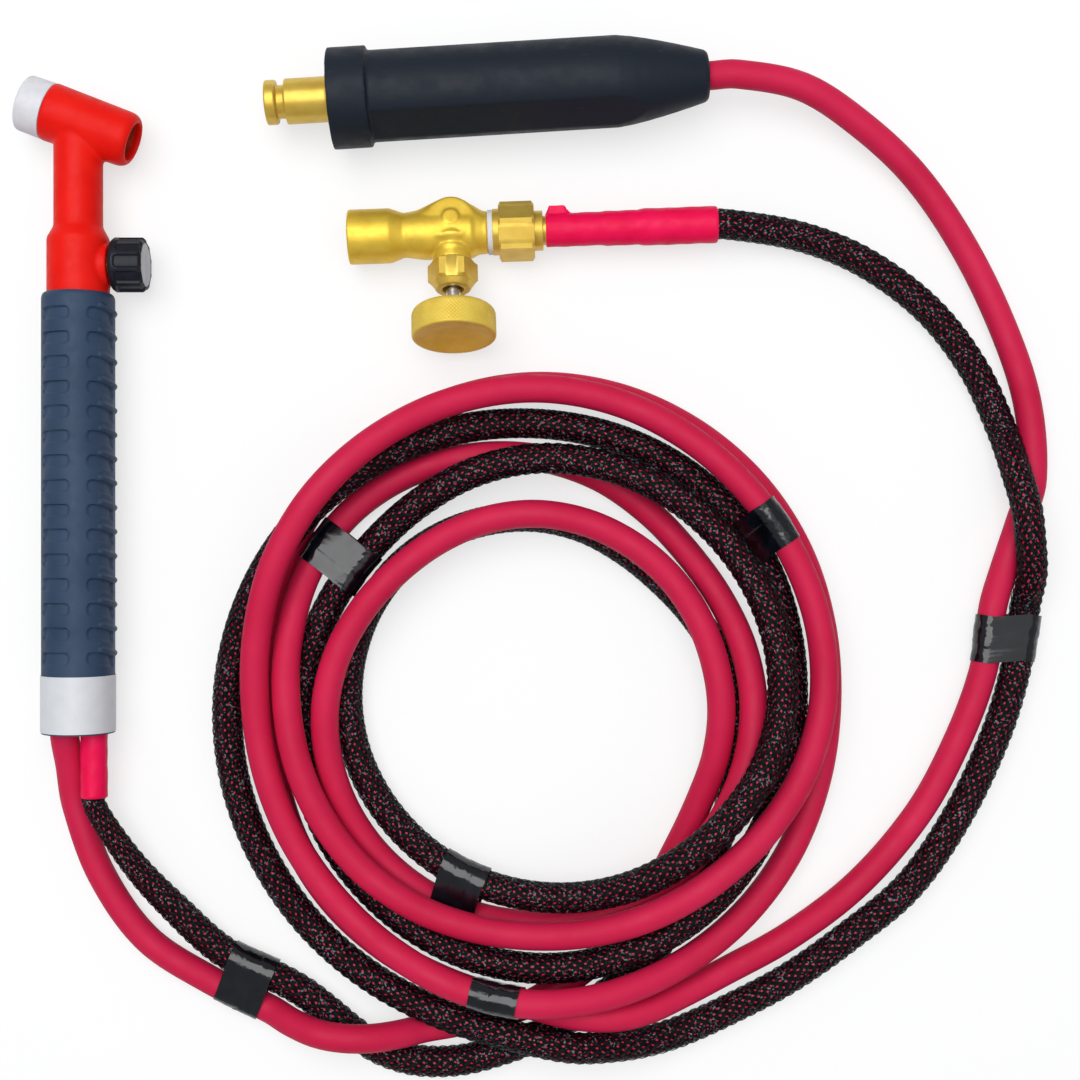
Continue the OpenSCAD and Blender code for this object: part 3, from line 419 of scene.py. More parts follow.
def softened(name, node, voxel, passes, material, body="torch", sharp=60, hulls=()):
    """A copy of a CAD node, joined with hulls of points, with inner corners filled and edges rounded."""
    solid = bmesh.new()
    solid.from_mesh(nodes[node].data)
    for points in hulls:
        corners = [solid.verts.new(Vector(point) * MM) for point in points]
        bmesh.ops.convex_hull(solid, input=corners)
    mesh = bpy.data.meshes.new(name + "_work")
    solid.to_mesh(mesh)
    solid.free()
    work = bpy.data.objects.new(name + "_work", mesh)
    scene.collection.objects.link(work)
    remesh = work.modifiers.new("remesh", "REMESH")
    remesh.mode = "VOXEL"
    remesh.voxel_size = voxel * MM
    smooth = work.modifiers.new("smooth", "SMOOTH")
    smooth.factor = SMOOTHING
    smooth.iterations = passes
    bpy.context.view_layer.update()
    mesh = bpy.data.meshes.new_from_object(work.evaluated_get(bpy.context.evaluated_depsgraph_get()))
    mesh.name = name
    bpy.data.objects.remove(work)
    return finish_piece(name, mesh, material, body, (node,), sharp)


# Paths of the cords

FINE_STEP = 0.5
CORD_STEP = 2.4
BRAID_STEP = 1.2
INSIDE_STEP = 20
CABLE_INSIDE = 20
CABLE_TOP = 102
PLUG_STRAIGHT = 10
SLEEVE_STRAIGHT = 3
HOSE_STRAIGHT = 4


def blend(a, b, c, d, t):
    """A value between b and c on a smooth curve through four even steps."""
    return (2 * b + (c - a) * t + (2 * a - 5 * b + 4 * c - d) * t ** 2
            + (3 * b - a - 3 * c + d) * t ** 3) / 2


def coil_point(lay, angle, least):
    """A point of a coil, angle degrees round from its start."""
    i = min(int(angle // EIGHTH), len(lay) - 4)
    radius, height = blend(*np.array(lay[i:i + 4], float), angle / EIGHTH - i)
    heading = math.radians(COIL_START + angle)
    return (COIL_AT[0] + radius * math.cos(heading), COIL_AT[1] + radius * math.sin(heading),
            max(height, least))


def coil_points(lay, least):
    turned = (len(lay) - 3) * EIGHTH
    return [coil_point(lay, angle, least) for angle in range(0, turned + 1, RING_STEP)]


def run_of(path):
    """The length along a path at each of its points."""
    return np.concatenate([[0], np.cumsum(np.linalg.norm(np.diff(path, axis=0), axis=1))])


def path_at(path, run, places):
    """Points of a path at places along its run."""
    return np.stack([np.interp(places, run, path[:, k]) for k in range(3)], axis=1)


def smooth_path(points, spacing):
    """A smooth curve through the points, as points spacing millimetres apart."""
    p = np.array(points, float)
    s = run_of(p)
    slope = np.empty_like(p)
    slope[1:-1] = (p[2:] - p[:-2]) / (s[2:] - s[:-2])[:, None]
    slope[0] = (p[1] - p[0]) / (s[1] - s[0])
    slope[-1] = (p[-1] - p[-2]) / (s[-1] - s[-2])
    fine = np.linspace(0, s[-1], int(s[-1] / FINE_STEP))
    i = np.clip(np.searchsorted(s, fine, side="right") - 1, 0, len(p) - 2)
    h = (s[i + 1] - s[i])[:, None]
    t = ((fine - s[i])[:, None]) / h
    curve = ((2 * t ** 3 - 3 * t ** 2 + 1) * p[i] + (t ** 3 - 2 * t ** 2 + t) * h * slope[i]
             + (3 * t ** 2 - 2 * t ** 3) * p[i + 1] + (t ** 3 - t ** 2) * h * slope[i + 1])
    run = run_of(curve)
    even = np.linspace(0, run[-1], max(2, int(round(run[-1] / spacing)) + 1))
    return path_at(curve, run, even)


def path_frames(path):
    """The direction, and two directions across it that don't twist, at each point of a path."""
    along = np.gradient(path, axis=0)
    along = along / np.linalg.norm(along, axis=1)[:, None]
    across = np.empty_like(along)
    across[0] = np.cross(along[0], (0, 0, 1))
    for i in range(1, len(path)):
        across[i] = across[i - 1] - along[i] * np.dot(across[i - 1], along[i])
        across[i] = across[i] / np.linalg.norm(across[i])
    across[0] = across[0] / np.linalg.norm(across[0])
    return along, across, np.cross(along, across)


def tube(name, path, diameter, material, sides=28, **kept):
    """A closed round tube along a path, of one diameter or one for each point."""
    _, across, up = path_frames(path)
    angle = np.linspace(0, 2 * math.pi, sides, endpoint=False)[None, :, None]
    rim = np.cos(angle) * across[:, None, :] + np.sin(angle) * up[:, None, :]
    points = path[:, None, :] + np.reshape(np.broadcast_to(diameter, len(path)), (-1, 1, 1)) / 2 * rim
    faces = grid_faces(len(path), sides) + end_faces(len(path), sides)
    return piece(name, points.reshape(-1, 3), faces, material, **kept)


def on_axis(axis, place):
    """A point on a frame's Z axis, in millimetres."""
    return tuple(axis @ Vector((0, 0, place)))


def on_torch(x, y):
    return tuple(TORCH @ Vector((x, y, 0)))


cable_loops = coil_points(CABLE_LAY, CABLE_D / 2)
hose_loops = coil_points(HOSE_LAY, HOSE_D / 2)
cable_exit = on_torch(CABLE_OFF, 0)
hose_exit = on_torch(HOSE_OFF, HOSE_OUT)
cable_path = smooth_path(
    [on_torch(CABLE_OFF, CABLE_INSIDE), cable_exit] + CABLE_LEAD + cable_loops + CABLE_TAIL
    + [on_axis(PLUG_AXIS, place) for place in (PLUG_END + PLUG_STRAIGHT, PLUG_END, PLUG_SEAT)],
    CORD_STEP)
hose_path = smooth_path(
    [hose_exit, on_torch(HOSE_OFF, HOSE_OUT - HOSE_STRAIGHT)] + HOSE_LEAD + hose_loops + HOSE_TAIL
    + [on_axis(RUN_AXIS, place) for place in (SLEEVE_END + SLEEVE_STRAIGHT, CORE_END)],
    BRAID_STEP)


# Camera

camera = bpy.data.objects.new("camera", bpy.data.cameras.new("camera"))
camera.location = Vector(CAMERA_AT) * MM
camera.data.angle = math.radians(CAMERA_ANGLE)
camera.data.clip_start = CAMERA_NEAR
scene.collection.objects.link(camera)
scene.camera = camera


# Power cable and hose

CORE_D = 8.9
SLIM = 0.74
SLIM_FROM = 3
SLIM_TO = 60
STRANDS = 12
BRAID_PITCH = 43.2
BRAID_R = 4.8
BRAID_WAVE = 0.3
STRAND_W = 1.4
STRAND_CROWN = 0.2
STRAND_EDGE = 0.04
BRAID_PARTS = 4


def slim(run):
    """How much of its full width the hose has, at a length from the torch's sleeve."""
    return SLIM + (1 - SLIM) * soft_step(run, SLIM_FROM, SLIM_TO)


hose_run = np.arange(len(hose_path)) * BRAID_STEP
power_cable = tube("power_cable", cable_path, CABLE_D, CABLE,
                   stands_for=("cable_lead", "cable_coil", "cable_tail"), slot="cable", sharp=60)
inside_ends = [on_torch(CABLE_OFF, CABLE_TOP), on_torch(CABLE_OFF, CABLE_INSIDE)]
tube("cable_inside", smooth_path(inside_ends, INSIDE_STEP), CABLE_D, CABLE, slot="cable", sharp=60)
hose_core = tube("hose_core", hose_path[::2], CORE_D * slim(hose_run[::2]), CORE, sides=20,
                 stands_for=("hose_lead", "hose_coil", "hose_tail"), slot="hose_core", sharp=60)
hose_frames = path_frames(hose_path)


def braid(name, first, last):
    """Strands that wind both ways round the hose and pass over two and under two of each other."""
    path = hose_path[first:last]
    along, across, up = (a[first:last] for a in hose_frames)
    s = hose_run[first:last]
    n = len(s)
    twist = 2 * math.pi / BRAID_PITCH
    lean = math.atan(twist * BRAID_R)
    crossing = s * 2 * twist * STRANDS / (2 * math.pi)
    points, faces, marks = [], [], []
    for way in (1, -1):
        for i in range(STRANDS):
            beat = 2 * i + way * crossing
            lift = way * BRAID_WAVE * np.cos(math.pi / 2 * (beat - 0.5))
            middle = 2 * math.pi * i / STRANDS + way * twist * s
            base = len(points) * n
            for side, rise in ((-1, -STRAND_EDGE), (0, STRAND_CROWN), (1, -STRAND_EDGE)):
                shift = side * STRAND_W / 2
                angle = middle + shift * math.cos(lean) / BRAID_R
                radius = (BRAID_R + lift + rise) * slim(s)
                points.append(path - way * shift * math.sin(lean) * along
                              + (radius * np.cos(angle))[:, None] * across
                              + (radius * np.sin(angle))[:, None] * up)
                marks.append(np.stack([s, np.full_like(s, side)], axis=1))
            for k in range(n - 1):
                for a, b in ((0, 1), (1, 2), (2, 0)):
                    one, two = base + a * n + k, base + b * n + k
                    faces.append((one, one + 1, two + 1, two))
            faces.append((base, base + n, base + 2 * n))
            faces.append((base + n - 1, base + 3 * n - 1, base + 2 * n - 1))
    obj = piece(name, np.concatenate(points), faces, BRAID, slot="braid", sharp=75)
    marks = np.concatenate(marks)
    layer = obj.data.uv_layers.new(name="OFBake")
    corner = np.empty(len(obj.data.loops), np.int32)
    obj.data.loops.foreach_get("vertex_index", corner)
    layer.data.foreach_set("uv", marks[corner].astype(np.float32).ravel())
    return obj


cuts = np.linspace(0, len(hose_path) - 1, BRAID_PARTS + 1).astype(int)
braids = [braid(f"braid_{i + 1}", cuts[i], cuts[i + 1] + 1) for i in range(BRAID_PARTS)]


# Tape bands round two cords that run side by side

TAPE_LEN = 16.0
TAPE_RINGS = 40
TAPE_COLUMNS = 96
TAPE_OUTER = 0.42
TAPE_INNER = 0.12
TABLE_GAP = 0.05
LAYER = 0.16
LAYER_AT = 0.5
LAYER_SWAY = 0.18
LAYER_TURN = 0.6
WRINKLE = 0.16
WRINKLES_ALONG = 5
WRINKLES_ROUND = 1.6
CREASE = 0.07
CREASE_SCALE = 3
TURN_RINGS = 360 // RING_STEP


def nearest(path, point):
    return int(np.argmin(np.linalg.norm(path - np.array(point), axis=1)))


def stretch(path, point, length, count):
    """count points of a path, over a length centred on the place nearest to a point."""
    run = run_of(path)
    at = run[nearest(path, point)]
    return path_at(path, run, np.linspace(at - length / 2, at + length / 2, count))


def middle_of(one, two):
    return (np.array(one, float) + np.array(two, float)) / 2


def hash_of(name):
    """A number that is the same for a name in every run."""
    return sum(ord(letter) * (i + 1) for i, letter in enumerate(name)) % 97


def tape_relief(name, share, angle):
    """How far tape stands out at a share of its length: the last layer's step, wrinkles and creases."""
    layer = LAYER if share > LAYER_AT + LAYER_SWAY * math.sin(angle + LAYER_TURN) else 0.0
    spot = Vector((share * WRINKLES_ALONG, angle * WRINKLES_ROUND, hash_of(name)))
    return layer + (WRINKLE * noise.noise(spot) + CREASE * noise.noise(spot * CREASE_SCALE))


def tape(name, path_a, at_a, d_a, path_b, at_b, d_b):
    """A band of wound tape: the outline round both cords, kept above the table."""
    a = stretch(path_a, at_a, TAPE_LEN, TAPE_RINGS)
    b = stretch(path_b, at_b, TAPE_LEN, TAPE_RINGS)
    if np.dot(a[-1] - a[0], b[-1] - b[0]) < 0:
        b = b[::-1]
    along = (a[-1] - a[0]) + (b[-1] - b[0])
    along = along / np.linalg.norm(along)
    outer, inner = [], []
    for k in range(TAPE_RINGS):
        gap = b[k] - a[k]
        gap = gap - along * np.dot(gap, along)
        side = gap / np.linalg.norm(gap)
        up = np.cross(along, side)
        share = k / (TAPE_RINGS - 1)
        for j in range(TAPE_COLUMNS):
            angle = 2 * math.pi * j / TAPE_COLUMNS
            centre, radius = (b[k], d_b / 2) if math.cos(angle) > 0 else (a[k], d_a / 2)
            out = math.cos(angle) * side + math.sin(angle) * up
            outer.append(centre + (radius + TAPE_OUTER + tape_relief(name, share, angle)) * out)
            inner.append(centre + (radius + TAPE_INNER) * out)
    points = np.array(outer + inner)
    total = TAPE_RINGS * TAPE_COLUMNS
    end = total - TAPE_COLUMNS
    faces = grid_faces(TAPE_RINGS, TAPE_COLUMNS)
    faces += [face[::-1] for face in grid_faces(TAPE_RINGS, TAPE_COLUMNS, first=total)]
    for j in range(TAPE_COLUMNS):
        k = (j + 1) % TAPE_COLUMNS
        faces.append((j, total + j, total + k, k))
        faces.append((end + k, total + end + k, total + end + j, end + j))
    points[:total, 2] = np.maximum(points[:total, 2], TABLE_GAP)
    points[total:, 2] = np.maximum(points[total:, 2], 2 * TABLE_GAP)
    return piece("wound_" + name, points, faces, TAPE, stands_for=(name,), slot="tape", sharp=50)


def coil_tape(name, ring, other_path, other_loops, other_d, other_ring):
    return tape(name, cable_path, middle_of(cable_loops[ring], cable_loops[ring + 1]), CABLE_D,
                other_path, middle_of(other_loops[other_ring], other_loops[other_ring + 1]), other_d)


def hose_tape(name, ring):
    return coil_tape(name, ring, hose_path, hose_loops, HOSE_D, ring)


tapes = [
    tape("tape_lead", cable_path, middle_of(CABLE_LEAD[4], CABLE_LEAD[5]), CABLE_D,
         hose_path, middle_of(HOSE_LEAD[3], HOSE_LEAD[4]), HOSE_D),
    tape("tape_tail", cable_path, middle_of(CABLE_TAIL[9], CABLE_TAIL[10]), CABLE_D,
         hose_path, middle_of(HOSE_TAIL[10], HOSE_TAIL[11]), HOSE_D),
    coil_tape("tape_coil_bottom", 3 * TURN_RINGS - 1, cable_path, cable_loops, CABLE_D, 4 * TURN_RINGS - 1),
    hose_tape("tape_coil_left", TURN_RINGS + 15),
    hose_tape("tape_coil_right", 2 * TURN_RINGS + 8),
    hose_tape("tape_coil_inner", TURN_RINGS - 2),
]


# Handle

HANDLE_R = 12.1
HANDLE_BORE_R = 10.3
HANDLE_COLUMNS = 200
HANDLE_STEP = 0.31
GRIP_START = 23.4
GRIP_PITCH = 8.2
GRIP_ROWS = 15
GROOVE_W = 4.2
GROOVE_DEPTH = 0.95
GROOVE_SHALLOW = 0.3
GROOVE_FROM = 14
GROOVE_TO = 70
GROOVE_CORNER = 1.6
GROOVE_EDGE = (-0.25, 0.05)
RIB_FROM = 33
RIB_TO = 147
RIB_W = 2.0
RIB_H = 0.75
STUD_IN = 0.6
STUD_OFF = 0.9
STUD_H = 0.3
STUD_EDGE = (0.2, 0.6)
SLANT = 1.9
SLANT_FROM = 25
SLANT_TO = 85
STRIP_TURN = 15
SHOULDER = 2.2
SHOULDER_DROP = 0.6
SHOULDER_END = 0.98


def slot_distance(u, v, half_u, half_v, corner):
    """Distance outside a rectangle with round corners, less than 0 inside it."""
    x = np.abs(u) - half_u + corner
    y = np.abs(v) - half_v + corner
    return np.hypot(np.maximum(x, 0), np.maximum(y, 0)) + np.minimum(np.maximum(x, y), 0) - corner


def from_row(place, first):
    """How far a place is from the middle of its row, where the first row's middle is at first."""
    row = np.clip(np.round((place - first) / GRIP_PITCH), 0, GRIP_ROWS - 1)
    return place - (first + row * GRIP_PITCH)


def round_from(degrees, middle):
    """How far round the handle an angle is from a middle, in millimetres."""
    return np.radians((degrees - middle + 180) % 360 - 180) * HANDLE_R


def handle_radius(angle, at):
    """The handle's radius: grooves on four sides, slanted ribs with studs on the right, a round shoulder."""
    radius = np.full_like(angle, HANDLE_R)
    degrees = np.degrees(angle) % 360
    place = at + np.where(degrees < 180, SLANT * soft_step(degrees, SLANT_FROM, SLANT_TO), 0)
    v = from_row(place, GRIP_START + GROOVE_W / 2)
    slope = GROOVE_SHALLOW + (1 - GROOVE_SHALLOW) * np.clip(v / GROOVE_W + 0.5, 0, 1)
    half_turn = math.radians(GROOVE_TO - GROOVE_FROM) / 2 * HANDLE_R
    side = (GROOVE_FROM + GROOVE_TO) / 2
    for middle in (side, 180 - side, 180 + side, 360 - side):
        outside = slot_distance(round_from(degrees, middle), v, half_turn, GROOVE_W / 2, GROOVE_CORNER)
        radius -= GROOVE_DEPTH * slope * (1 - soft_step(outside, *GROOVE_EDGE))
    v = from_row(place, GRIP_START + GROOVE_W + RIB_W / 2)
    u = round_from(degrees, (RIB_FROM + RIB_TO) / 2)
    half_turn = math.radians(RIB_TO - RIB_FROM) / 2 * HANDLE_R
    inside = -slot_distance(u, v, half_turn, RIB_W / 2, RIB_W / 2)
    radius += RIB_H * np.sqrt(np.clip(inside / (RIB_W / 2), 0, 1))
    stud = np.hypot(u + half_turn - STUD_IN, v - RIB_W / 2 - STUD_OFF)
    radius += STUD_H * (1 - soft_step(stud, *STUD_EDGE))
    top = np.clip(at - (HANDLE_LEN - SHOULDER), 0, SHOULDER)
    radius -= SHOULDER * SHOULDER_DROP * (1 - np.sqrt(1 - (top / SHOULDER) ** 2 * SHOULDER_END))
    return radius


def handle_grip():
    places = np.append(np.arange(0, HANDLE_LEN, HANDLE_STEP), HANDLE_LEN)
    angles = np.linspace(0, 2 * math.pi, HANDLE_COLUMNS, endpoint=False)
    angle, place = np.meshgrid(angles, places)
    radius = handle_radius(angle, place)
    bore_places = (HANDLE_LEN, HANDLE_LEN / 2, 0)
    for bore_place in bore_places:
        angle = np.vstack([angle, angles])
        place = np.vstack([place, np.full(HANDLE_COLUMNS, bore_place)])
        radius = np.vstack([radius, np.full(HANDLE_COLUMNS, HANDLE_BORE_R)])
    points = turned_points(GRIP_AXIS @ turn("Z", STRIP_TURN - 90), angle, place, radius)
    faces = grid_faces(len(places) + len(bore_places), HANDLE_COLUMNS, wrap_rows=True)
    return piece("handle_grip", points, faces, GRIP, stands_for=("handle",), slot="grip", sharp=50)


handle_grip()
dress(nodes["label_band"].data, LABEL)

# Torch head. Profiles are lists of (place, radius, edge)

GASKET_FROM = 10.4
GASKET_TO = 19.4
GASKET_BORE_R = 6.55
softened("torch_skin", "torch_cover", voxel=0.4, passes=26, material=COVER)
revolve("gasket_ring", HEAD_AXIS,
        [(GASKET_FROM, GASKET_BORE_R, 0), (GASKET_FROM, 9.7, 0.3), (GASKET_TO, 9.5, 1.2),
         (GASKET_TO, GASKET_BORE_R, 0.4)],
        GASKET, stands_for=("cup_gasket",), slot="gasket", sharp=50)


# Torch knob, with raised ridges between sunk panels

PROFILE_STEP = 0.25
NEAR_AXIS = 0.05
KNOB_FROM = 11.7
KNOB_TO = 22.9
KNOB_R = 9.2
KNOB_BORE_R = 2.6
KNOB_PANELS = 10
PANEL_FROM = 2.2
PANEL_HALF = 6
PANEL_GAP = 0.75
PANEL_CORNER = 1.0
PANEL_DEPTH = 0.75
PANEL_EDGE = (-0.3, 0.1)
PANEL_SKIN = 1.5
CAP_SUNK = 0.4


def knob_shape(angle, place, radius):
    pitch = 2 * math.pi / KNOB_PANELS
    u = ((angle + pitch / 2) % pitch - pitch / 2) * KNOB_R
    v = place - (KNOB_FROM + PANEL_FROM + PANEL_HALF)
    outside = slot_distance(u, v, pitch * KNOB_R / 2 - PANEL_GAP, PANEL_HALF, PANEL_CORNER)
    sunk = PANEL_DEPTH * (1 - soft_step(outside, *PANEL_EDGE))
    return np.where(radius > KNOB_R - PANEL_SKIN, radius - sunk, radius)


def knob_places():
    """The knob's profile, with enough places along it for its panels, and a rim round the sunk cap."""
    side = [(place, KNOB_R, 0) for place in np.arange(KNOB_FROM + 1.2, KNOB_TO - 0.9, PROFILE_STEP)]
    return ([(KNOB_FROM, KNOB_BORE_R, 0), (KNOB_FROM, KNOB_R - 0.9, 0.5)] + side
            + [(KNOB_TO - CAP_SUNK, KNOB_R - 0.5, 0), (KNOB_TO, KNOB_R - 1.1, 0), (KNOB_TO, KNOB_R - 1.6, 0),
               (KNOB_TO - CAP_SUNK, KNOB_R - 1.8, 0), (KNOB_TO - CAP_SUNK, KNOB_BORE_R, 0)])


revolve("knob_body", KNOB_AXIS, knob_places(), KNOB, columns=200, shape=knob_shape, body="torch_knob",
        stands_for=("torch_knob",), slot="knob", sharp=50)
# The sunk cap, pale grey as a painted highlight.
revolve("knob_cap", KNOB_AXIS,
        [(KNOB_TO - 0.6, NEAR_AXIS, 0), (KNOB_TO - 0.6, KNOB_R - 1.9, 0), (KNOB_TO - 0.1, KNOB_R - 1.95, 0.1),
         (KNOB_TO, KNOB_R - 2.6, 0.3), (KNOB_TO, NEAR_AXIS, 0)],
        KNOB_CAP_HIGHLIGHT, body="torch_knob", slot="knob", sharp=50)


# Plug

PIN_R = 7.5
PIN_HEAD_R = 7.35
PIN_NECK_R = 5.5
PIN_FLANGE_R = 9.1
PIN_FLANGE_AT = 20.55
PIN_END = 22.85
softened("plug_grip", "plug_body", voxel=0.5, passes=3, material=PLUG, sharp=35)
revolve("plug_contact", PLUG_AXIS,
        [(0, NEAR_AXIS, 0), (0, PIN_HEAD_R, 0.7), (3.7, PIN_HEAD_R, 0.7), (3.9, PIN_NECK_R, 0.3),
         (6.5, PIN_NECK_R, 0.3), (6.7, PIN_R, 0.5), (PIN_FLANGE_AT, PIN_R, 0.2),
         (PIN_FLANGE_AT, PIN_FLANGE_R, 0.4), (PIN_END, PIN_FLANGE_R, 0.3), (PIN_END, NEAR_AXIS, 0)],
        TURNED_BRASS, stands_for=("plug_pin",), slot="valve_brass", sharp=40)


# Gas valve: its casting gets a flat face with a round mark, and a foot for the branch

FACE_RISE = 2.6
FACE_RINGS = ((8.6, 4.5), (7.2, 8.1))
RUN_RINGS = ((7.3, -13.5), (7.3, 10.5))
MARK_AT = 2.2
MARK_RINGS = ((3.0, 0), (2.8, 8.95))
FOOT_RINGS = ((8.0, 0), (8.7, 3.7))


def ring_points(axis, rings, count=40):
    """Points on circles round a frame's Z axis, each circle a (radius, height) in millimetres."""
    return [axis @ Vector((radius * math.cos(a), radius * math.sin(a), height))
            for radius, height in rings for a in np.linspace(0, 2 * math.pi, count, endpoint=False)]


face_axis = GAS_VALVE @ Matrix.Translation((0, FACE_RISE, 0))
mark_axis = GAS_VALVE @ Matrix.Translation((0, MARK_AT, 0))
softened("valve_casting", "gas_valve_body", voxel=0.35, passes=12, material=CAST_BRASS,
         hulls=[ring_points(face_axis, FACE_RINGS) + ring_points(RUN_AXIS, RUN_RINGS),
                ring_points(mark_axis, MARK_RINGS), ring_points(BRANCH_AXIS, FOOT_RINGS)])

NUT_FROM = 13.8
NUT_TO = 30.8
NUT_AF = 17.5
NUT_R = 10.15
NUT_ROLL = 0
NUT_COLUMNS = 180
PACK_FROM = 10.9
PACK_TO = 20.7
PACK_AF = 14.6
PACK_R = 8.45


def hexagon(across_flats, roll):
    """A radius that follows a hexagon where the turned outline stands outside it."""
    def shape(angle, place, radius):
        sixth = math.pi / 3
        off = (angle - math.radians(roll) + sixth) % sixth - sixth / 2
        return np.minimum(radius, across_flats / 2 / np.cos(off))
    return shape


revolve("hose_union_nut", RUN_AXIS,
        [(NUT_FROM, 6.3, 0), (NUT_FROM, 7.8, 0.3), (NUT_FROM + 2.1, 7.8, 0.15), (NUT_FROM + 2.1, 9.0, 0),
         (NUT_FROM + 2.7, NUT_R, 0), (NUT_TO - 3.7, NUT_R, 0), (NUT_TO - 2.9, 9.0, 0),
         (NUT_TO - 2.9, 6.7, 0.15), (NUT_TO, 6.7, 0.3), (NUT_TO, 5, 0)],
        TURNED_BRASS, columns=NUT_COLUMNS, shape=hexagon(NUT_AF, NUT_ROLL), stands_for=("hose_nut",),
        slot="valve_brass", sharp=25)
revolve("packing_cap", BRANCH_AXIS,
        [(PACK_FROM, 4.5, 0), (PACK_FROM, 6.9, 0.2), (PACK_FROM + 0.9, PACK_R, 0), (PACK_TO - 3, PACK_R, 0),
         (PACK_TO - 2, 6.95, 0.2), (PACK_TO, 5.8, 0.4), (PACK_TO, 3.6, 0.2), (PACK_TO - 2.5, 3.6, 0),
         (PACK_TO - 2.5, 2.6, 0)],
        TURNED_BRASS, columns=NUT_COLUMNS, shape=hexagon(PACK_AF, NUT_ROLL), stands_for=("packing_nut",),
        slot="valve_brass", sharp=25)

WHEEL_FROM = 28.0
WHEEL_TO = 38.0
WHEEL_R = 14.2
WHEEL_BACK = 2.6
WHEEL_FLOOR = 1.2
BACK_STEP = 10
DISH_R = 12.6
DISH_DEPTH = 3.4
DISH_SHARES = (0.95, 0.02, 14)
SPINDLE_R = 2.56
KNURL_PITCH = 1.25
KNURL_DEPTH = 0.4
KNURL_FROM = 1.2
KNURL_END = 0.5
KNURL_SKIN = 0.6


def knurl(angle, place, radius):
    """Fine crossed ridges on the wheel's rim."""
    around = angle * WHEEL_R
    ridges = sum(np.abs((across / KNURL_PITCH) % 1 - 0.5) for across in (around + place, around - place))
    edge = soft_step(place, WHEEL_FROM + KNURL_FROM, WHEEL_FROM + WHEEL_BACK)
    rim = (radius > WHEEL_R - KNURL_SKIN) & (place < WHEEL_TO - KNURL_END)
    return np.where(rim, radius + edge * (KNURL_DEPTH * ridges - KNURL_DEPTH), radius)


def wheel_places():
    """The wheel's profile: a round back edge, the knurled rim and a hollow face."""
    back = [(WHEEL_FROM + WHEEL_BACK * (1 - math.cos(a)), WHEEL_R - WHEEL_BACK * (1 - math.sin(a)), 0)
            for a in np.radians(np.arange(0, 90, BACK_STEP))]
    rim = [(place, WHEEL_R, 0) for place in np.arange(WHEEL_FROM + WHEEL_BACK, WHEEL_TO - 0.6, PROFILE_STEP)]
    dish = [(WHEEL_TO - DISH_DEPTH * (1 - share ** 2), DISH_R * share, 0)
            for share in np.linspace(*DISH_SHARES)]
    floor = WHEEL_TO - DISH_DEPTH - WHEEL_FLOOR
    return ([(WHEEL_FROM, SPINDLE_R, 0)] + back + rim
            + [(WHEEL_TO - 0.3, WHEEL_R - 0.25, 0), (WHEEL_TO, WHEEL_R - 0.7, 0), (WHEEL_TO, DISH_R + 0.4, 0)]
            + dish + [(floor, DISH_SHARES[1] * DISH_R, 0), (floor, SPINDLE_R, 0)])


revolve("knurled_wheel", BRANCH_AXIS, wheel_places(), WHEEL_BRASS, columns=430, shape=knurl,
        body="hand_wheel", stands_for=("hand_wheel",), slot="valve_brass", sharp=50)


# Shrink sleeves, and the clamp under the one at the valve

SLEEVE_FROM = 31.8
SLEEVE_R = 5.92
SLEEVE_BORE_R = 5.38
SLEEVE_SKIN = 0.4
SLEEVE_STEP = 0.5
SLEEVE_TIGHT = 0.3
SLEEVE_WIDER = ((0.22, 50.6, 52.6), (0.36, 62.5, 65))
SLEEVE_RINGS = (0.05, 0.9, 2)
SLEEVE_FOLDS = (0.04, 5, 0.35)
CLAMP_FROM = 32.4
CLAMP_LEN = 7
CLAMP_SHIFT = -3.4
EAR_ANGLE = 106
EAR_TURN = EAR_ANGLE - 180
EAR_TOP = 8.2
EAR_HALF = 2.7
EAR_REACH = 85
EAR_START = (-0.6, 0.8)
EAR_STOP = (-1.6, 1.2)
TORCH_SLEEVE_R = 4.5
TORCH_SLEEVE_BORE_R = 4.05
TORCH_SLEEVE_IN = 8
TORCH_SLEEVE_OVER = 2
TORCH_SLEEVE_RINGS = (0.06, 0.8, 1.5)
TORCH_SLEEVE_FOLDS = (0.05, 3, 0.3)


def wrinkles(angle, place, rings, folds):
    """Shallow rings that waver round a sleeve, and folds that run along it."""
    ring_depth, ring_rate, waver = rings
    fold_depth, fold_count, twist = folds
    return (ring_depth * np.sin(place * ring_rate + waver * np.sin(angle * 2))
            + fold_depth * np.sin(angle * fold_count + place * twist))


def sleeve_shape(angle, place, radius):
    """The sleeve shrunk on the hose: a bump over the clamp's ear, two steps wider, and wrinkles."""
    turned = (np.degrees(angle) - EAR_ANGLE + 180) % 360 - 180
    off = np.radians(np.clip(np.abs(turned), 1, EAR_REACH))
    box = np.minimum(EAR_TOP / np.cos(off), EAR_HALF / np.sin(off))
    over = soft_step(place, *(CLAMP_FROM + shift for shift in EAR_START))
    over = over * (1 - soft_step(place, *(CLAMP_FROM + CLAMP_LEN + shift for shift in EAR_STOP)))
    bump = np.where(np.abs(turned) < EAR_REACH, over * np.maximum(box - SLEEVE_R, 0), 0)
    wider = sum(rise * soft_step(place, low, high) for rise, low, high in SLEEVE_WIDER) - SLEEVE_TIGHT
    ripple = wrinkles(angle, place, SLEEVE_RINGS, SLEEVE_FOLDS)
    return np.where(radius > SLEEVE_R - SLEEVE_SKIN, radius + bump + wider + ripple, radius)


def torch_sleeve_shape(angle, place, radius):
    ripple = wrinkles(angle, place, TORCH_SLEEVE_RINGS, TORCH_SLEEVE_FOLDS)
    return np.where(radius > TORCH_SLEEVE_R - SLEEVE_SKIN, radius + ripple, radius)


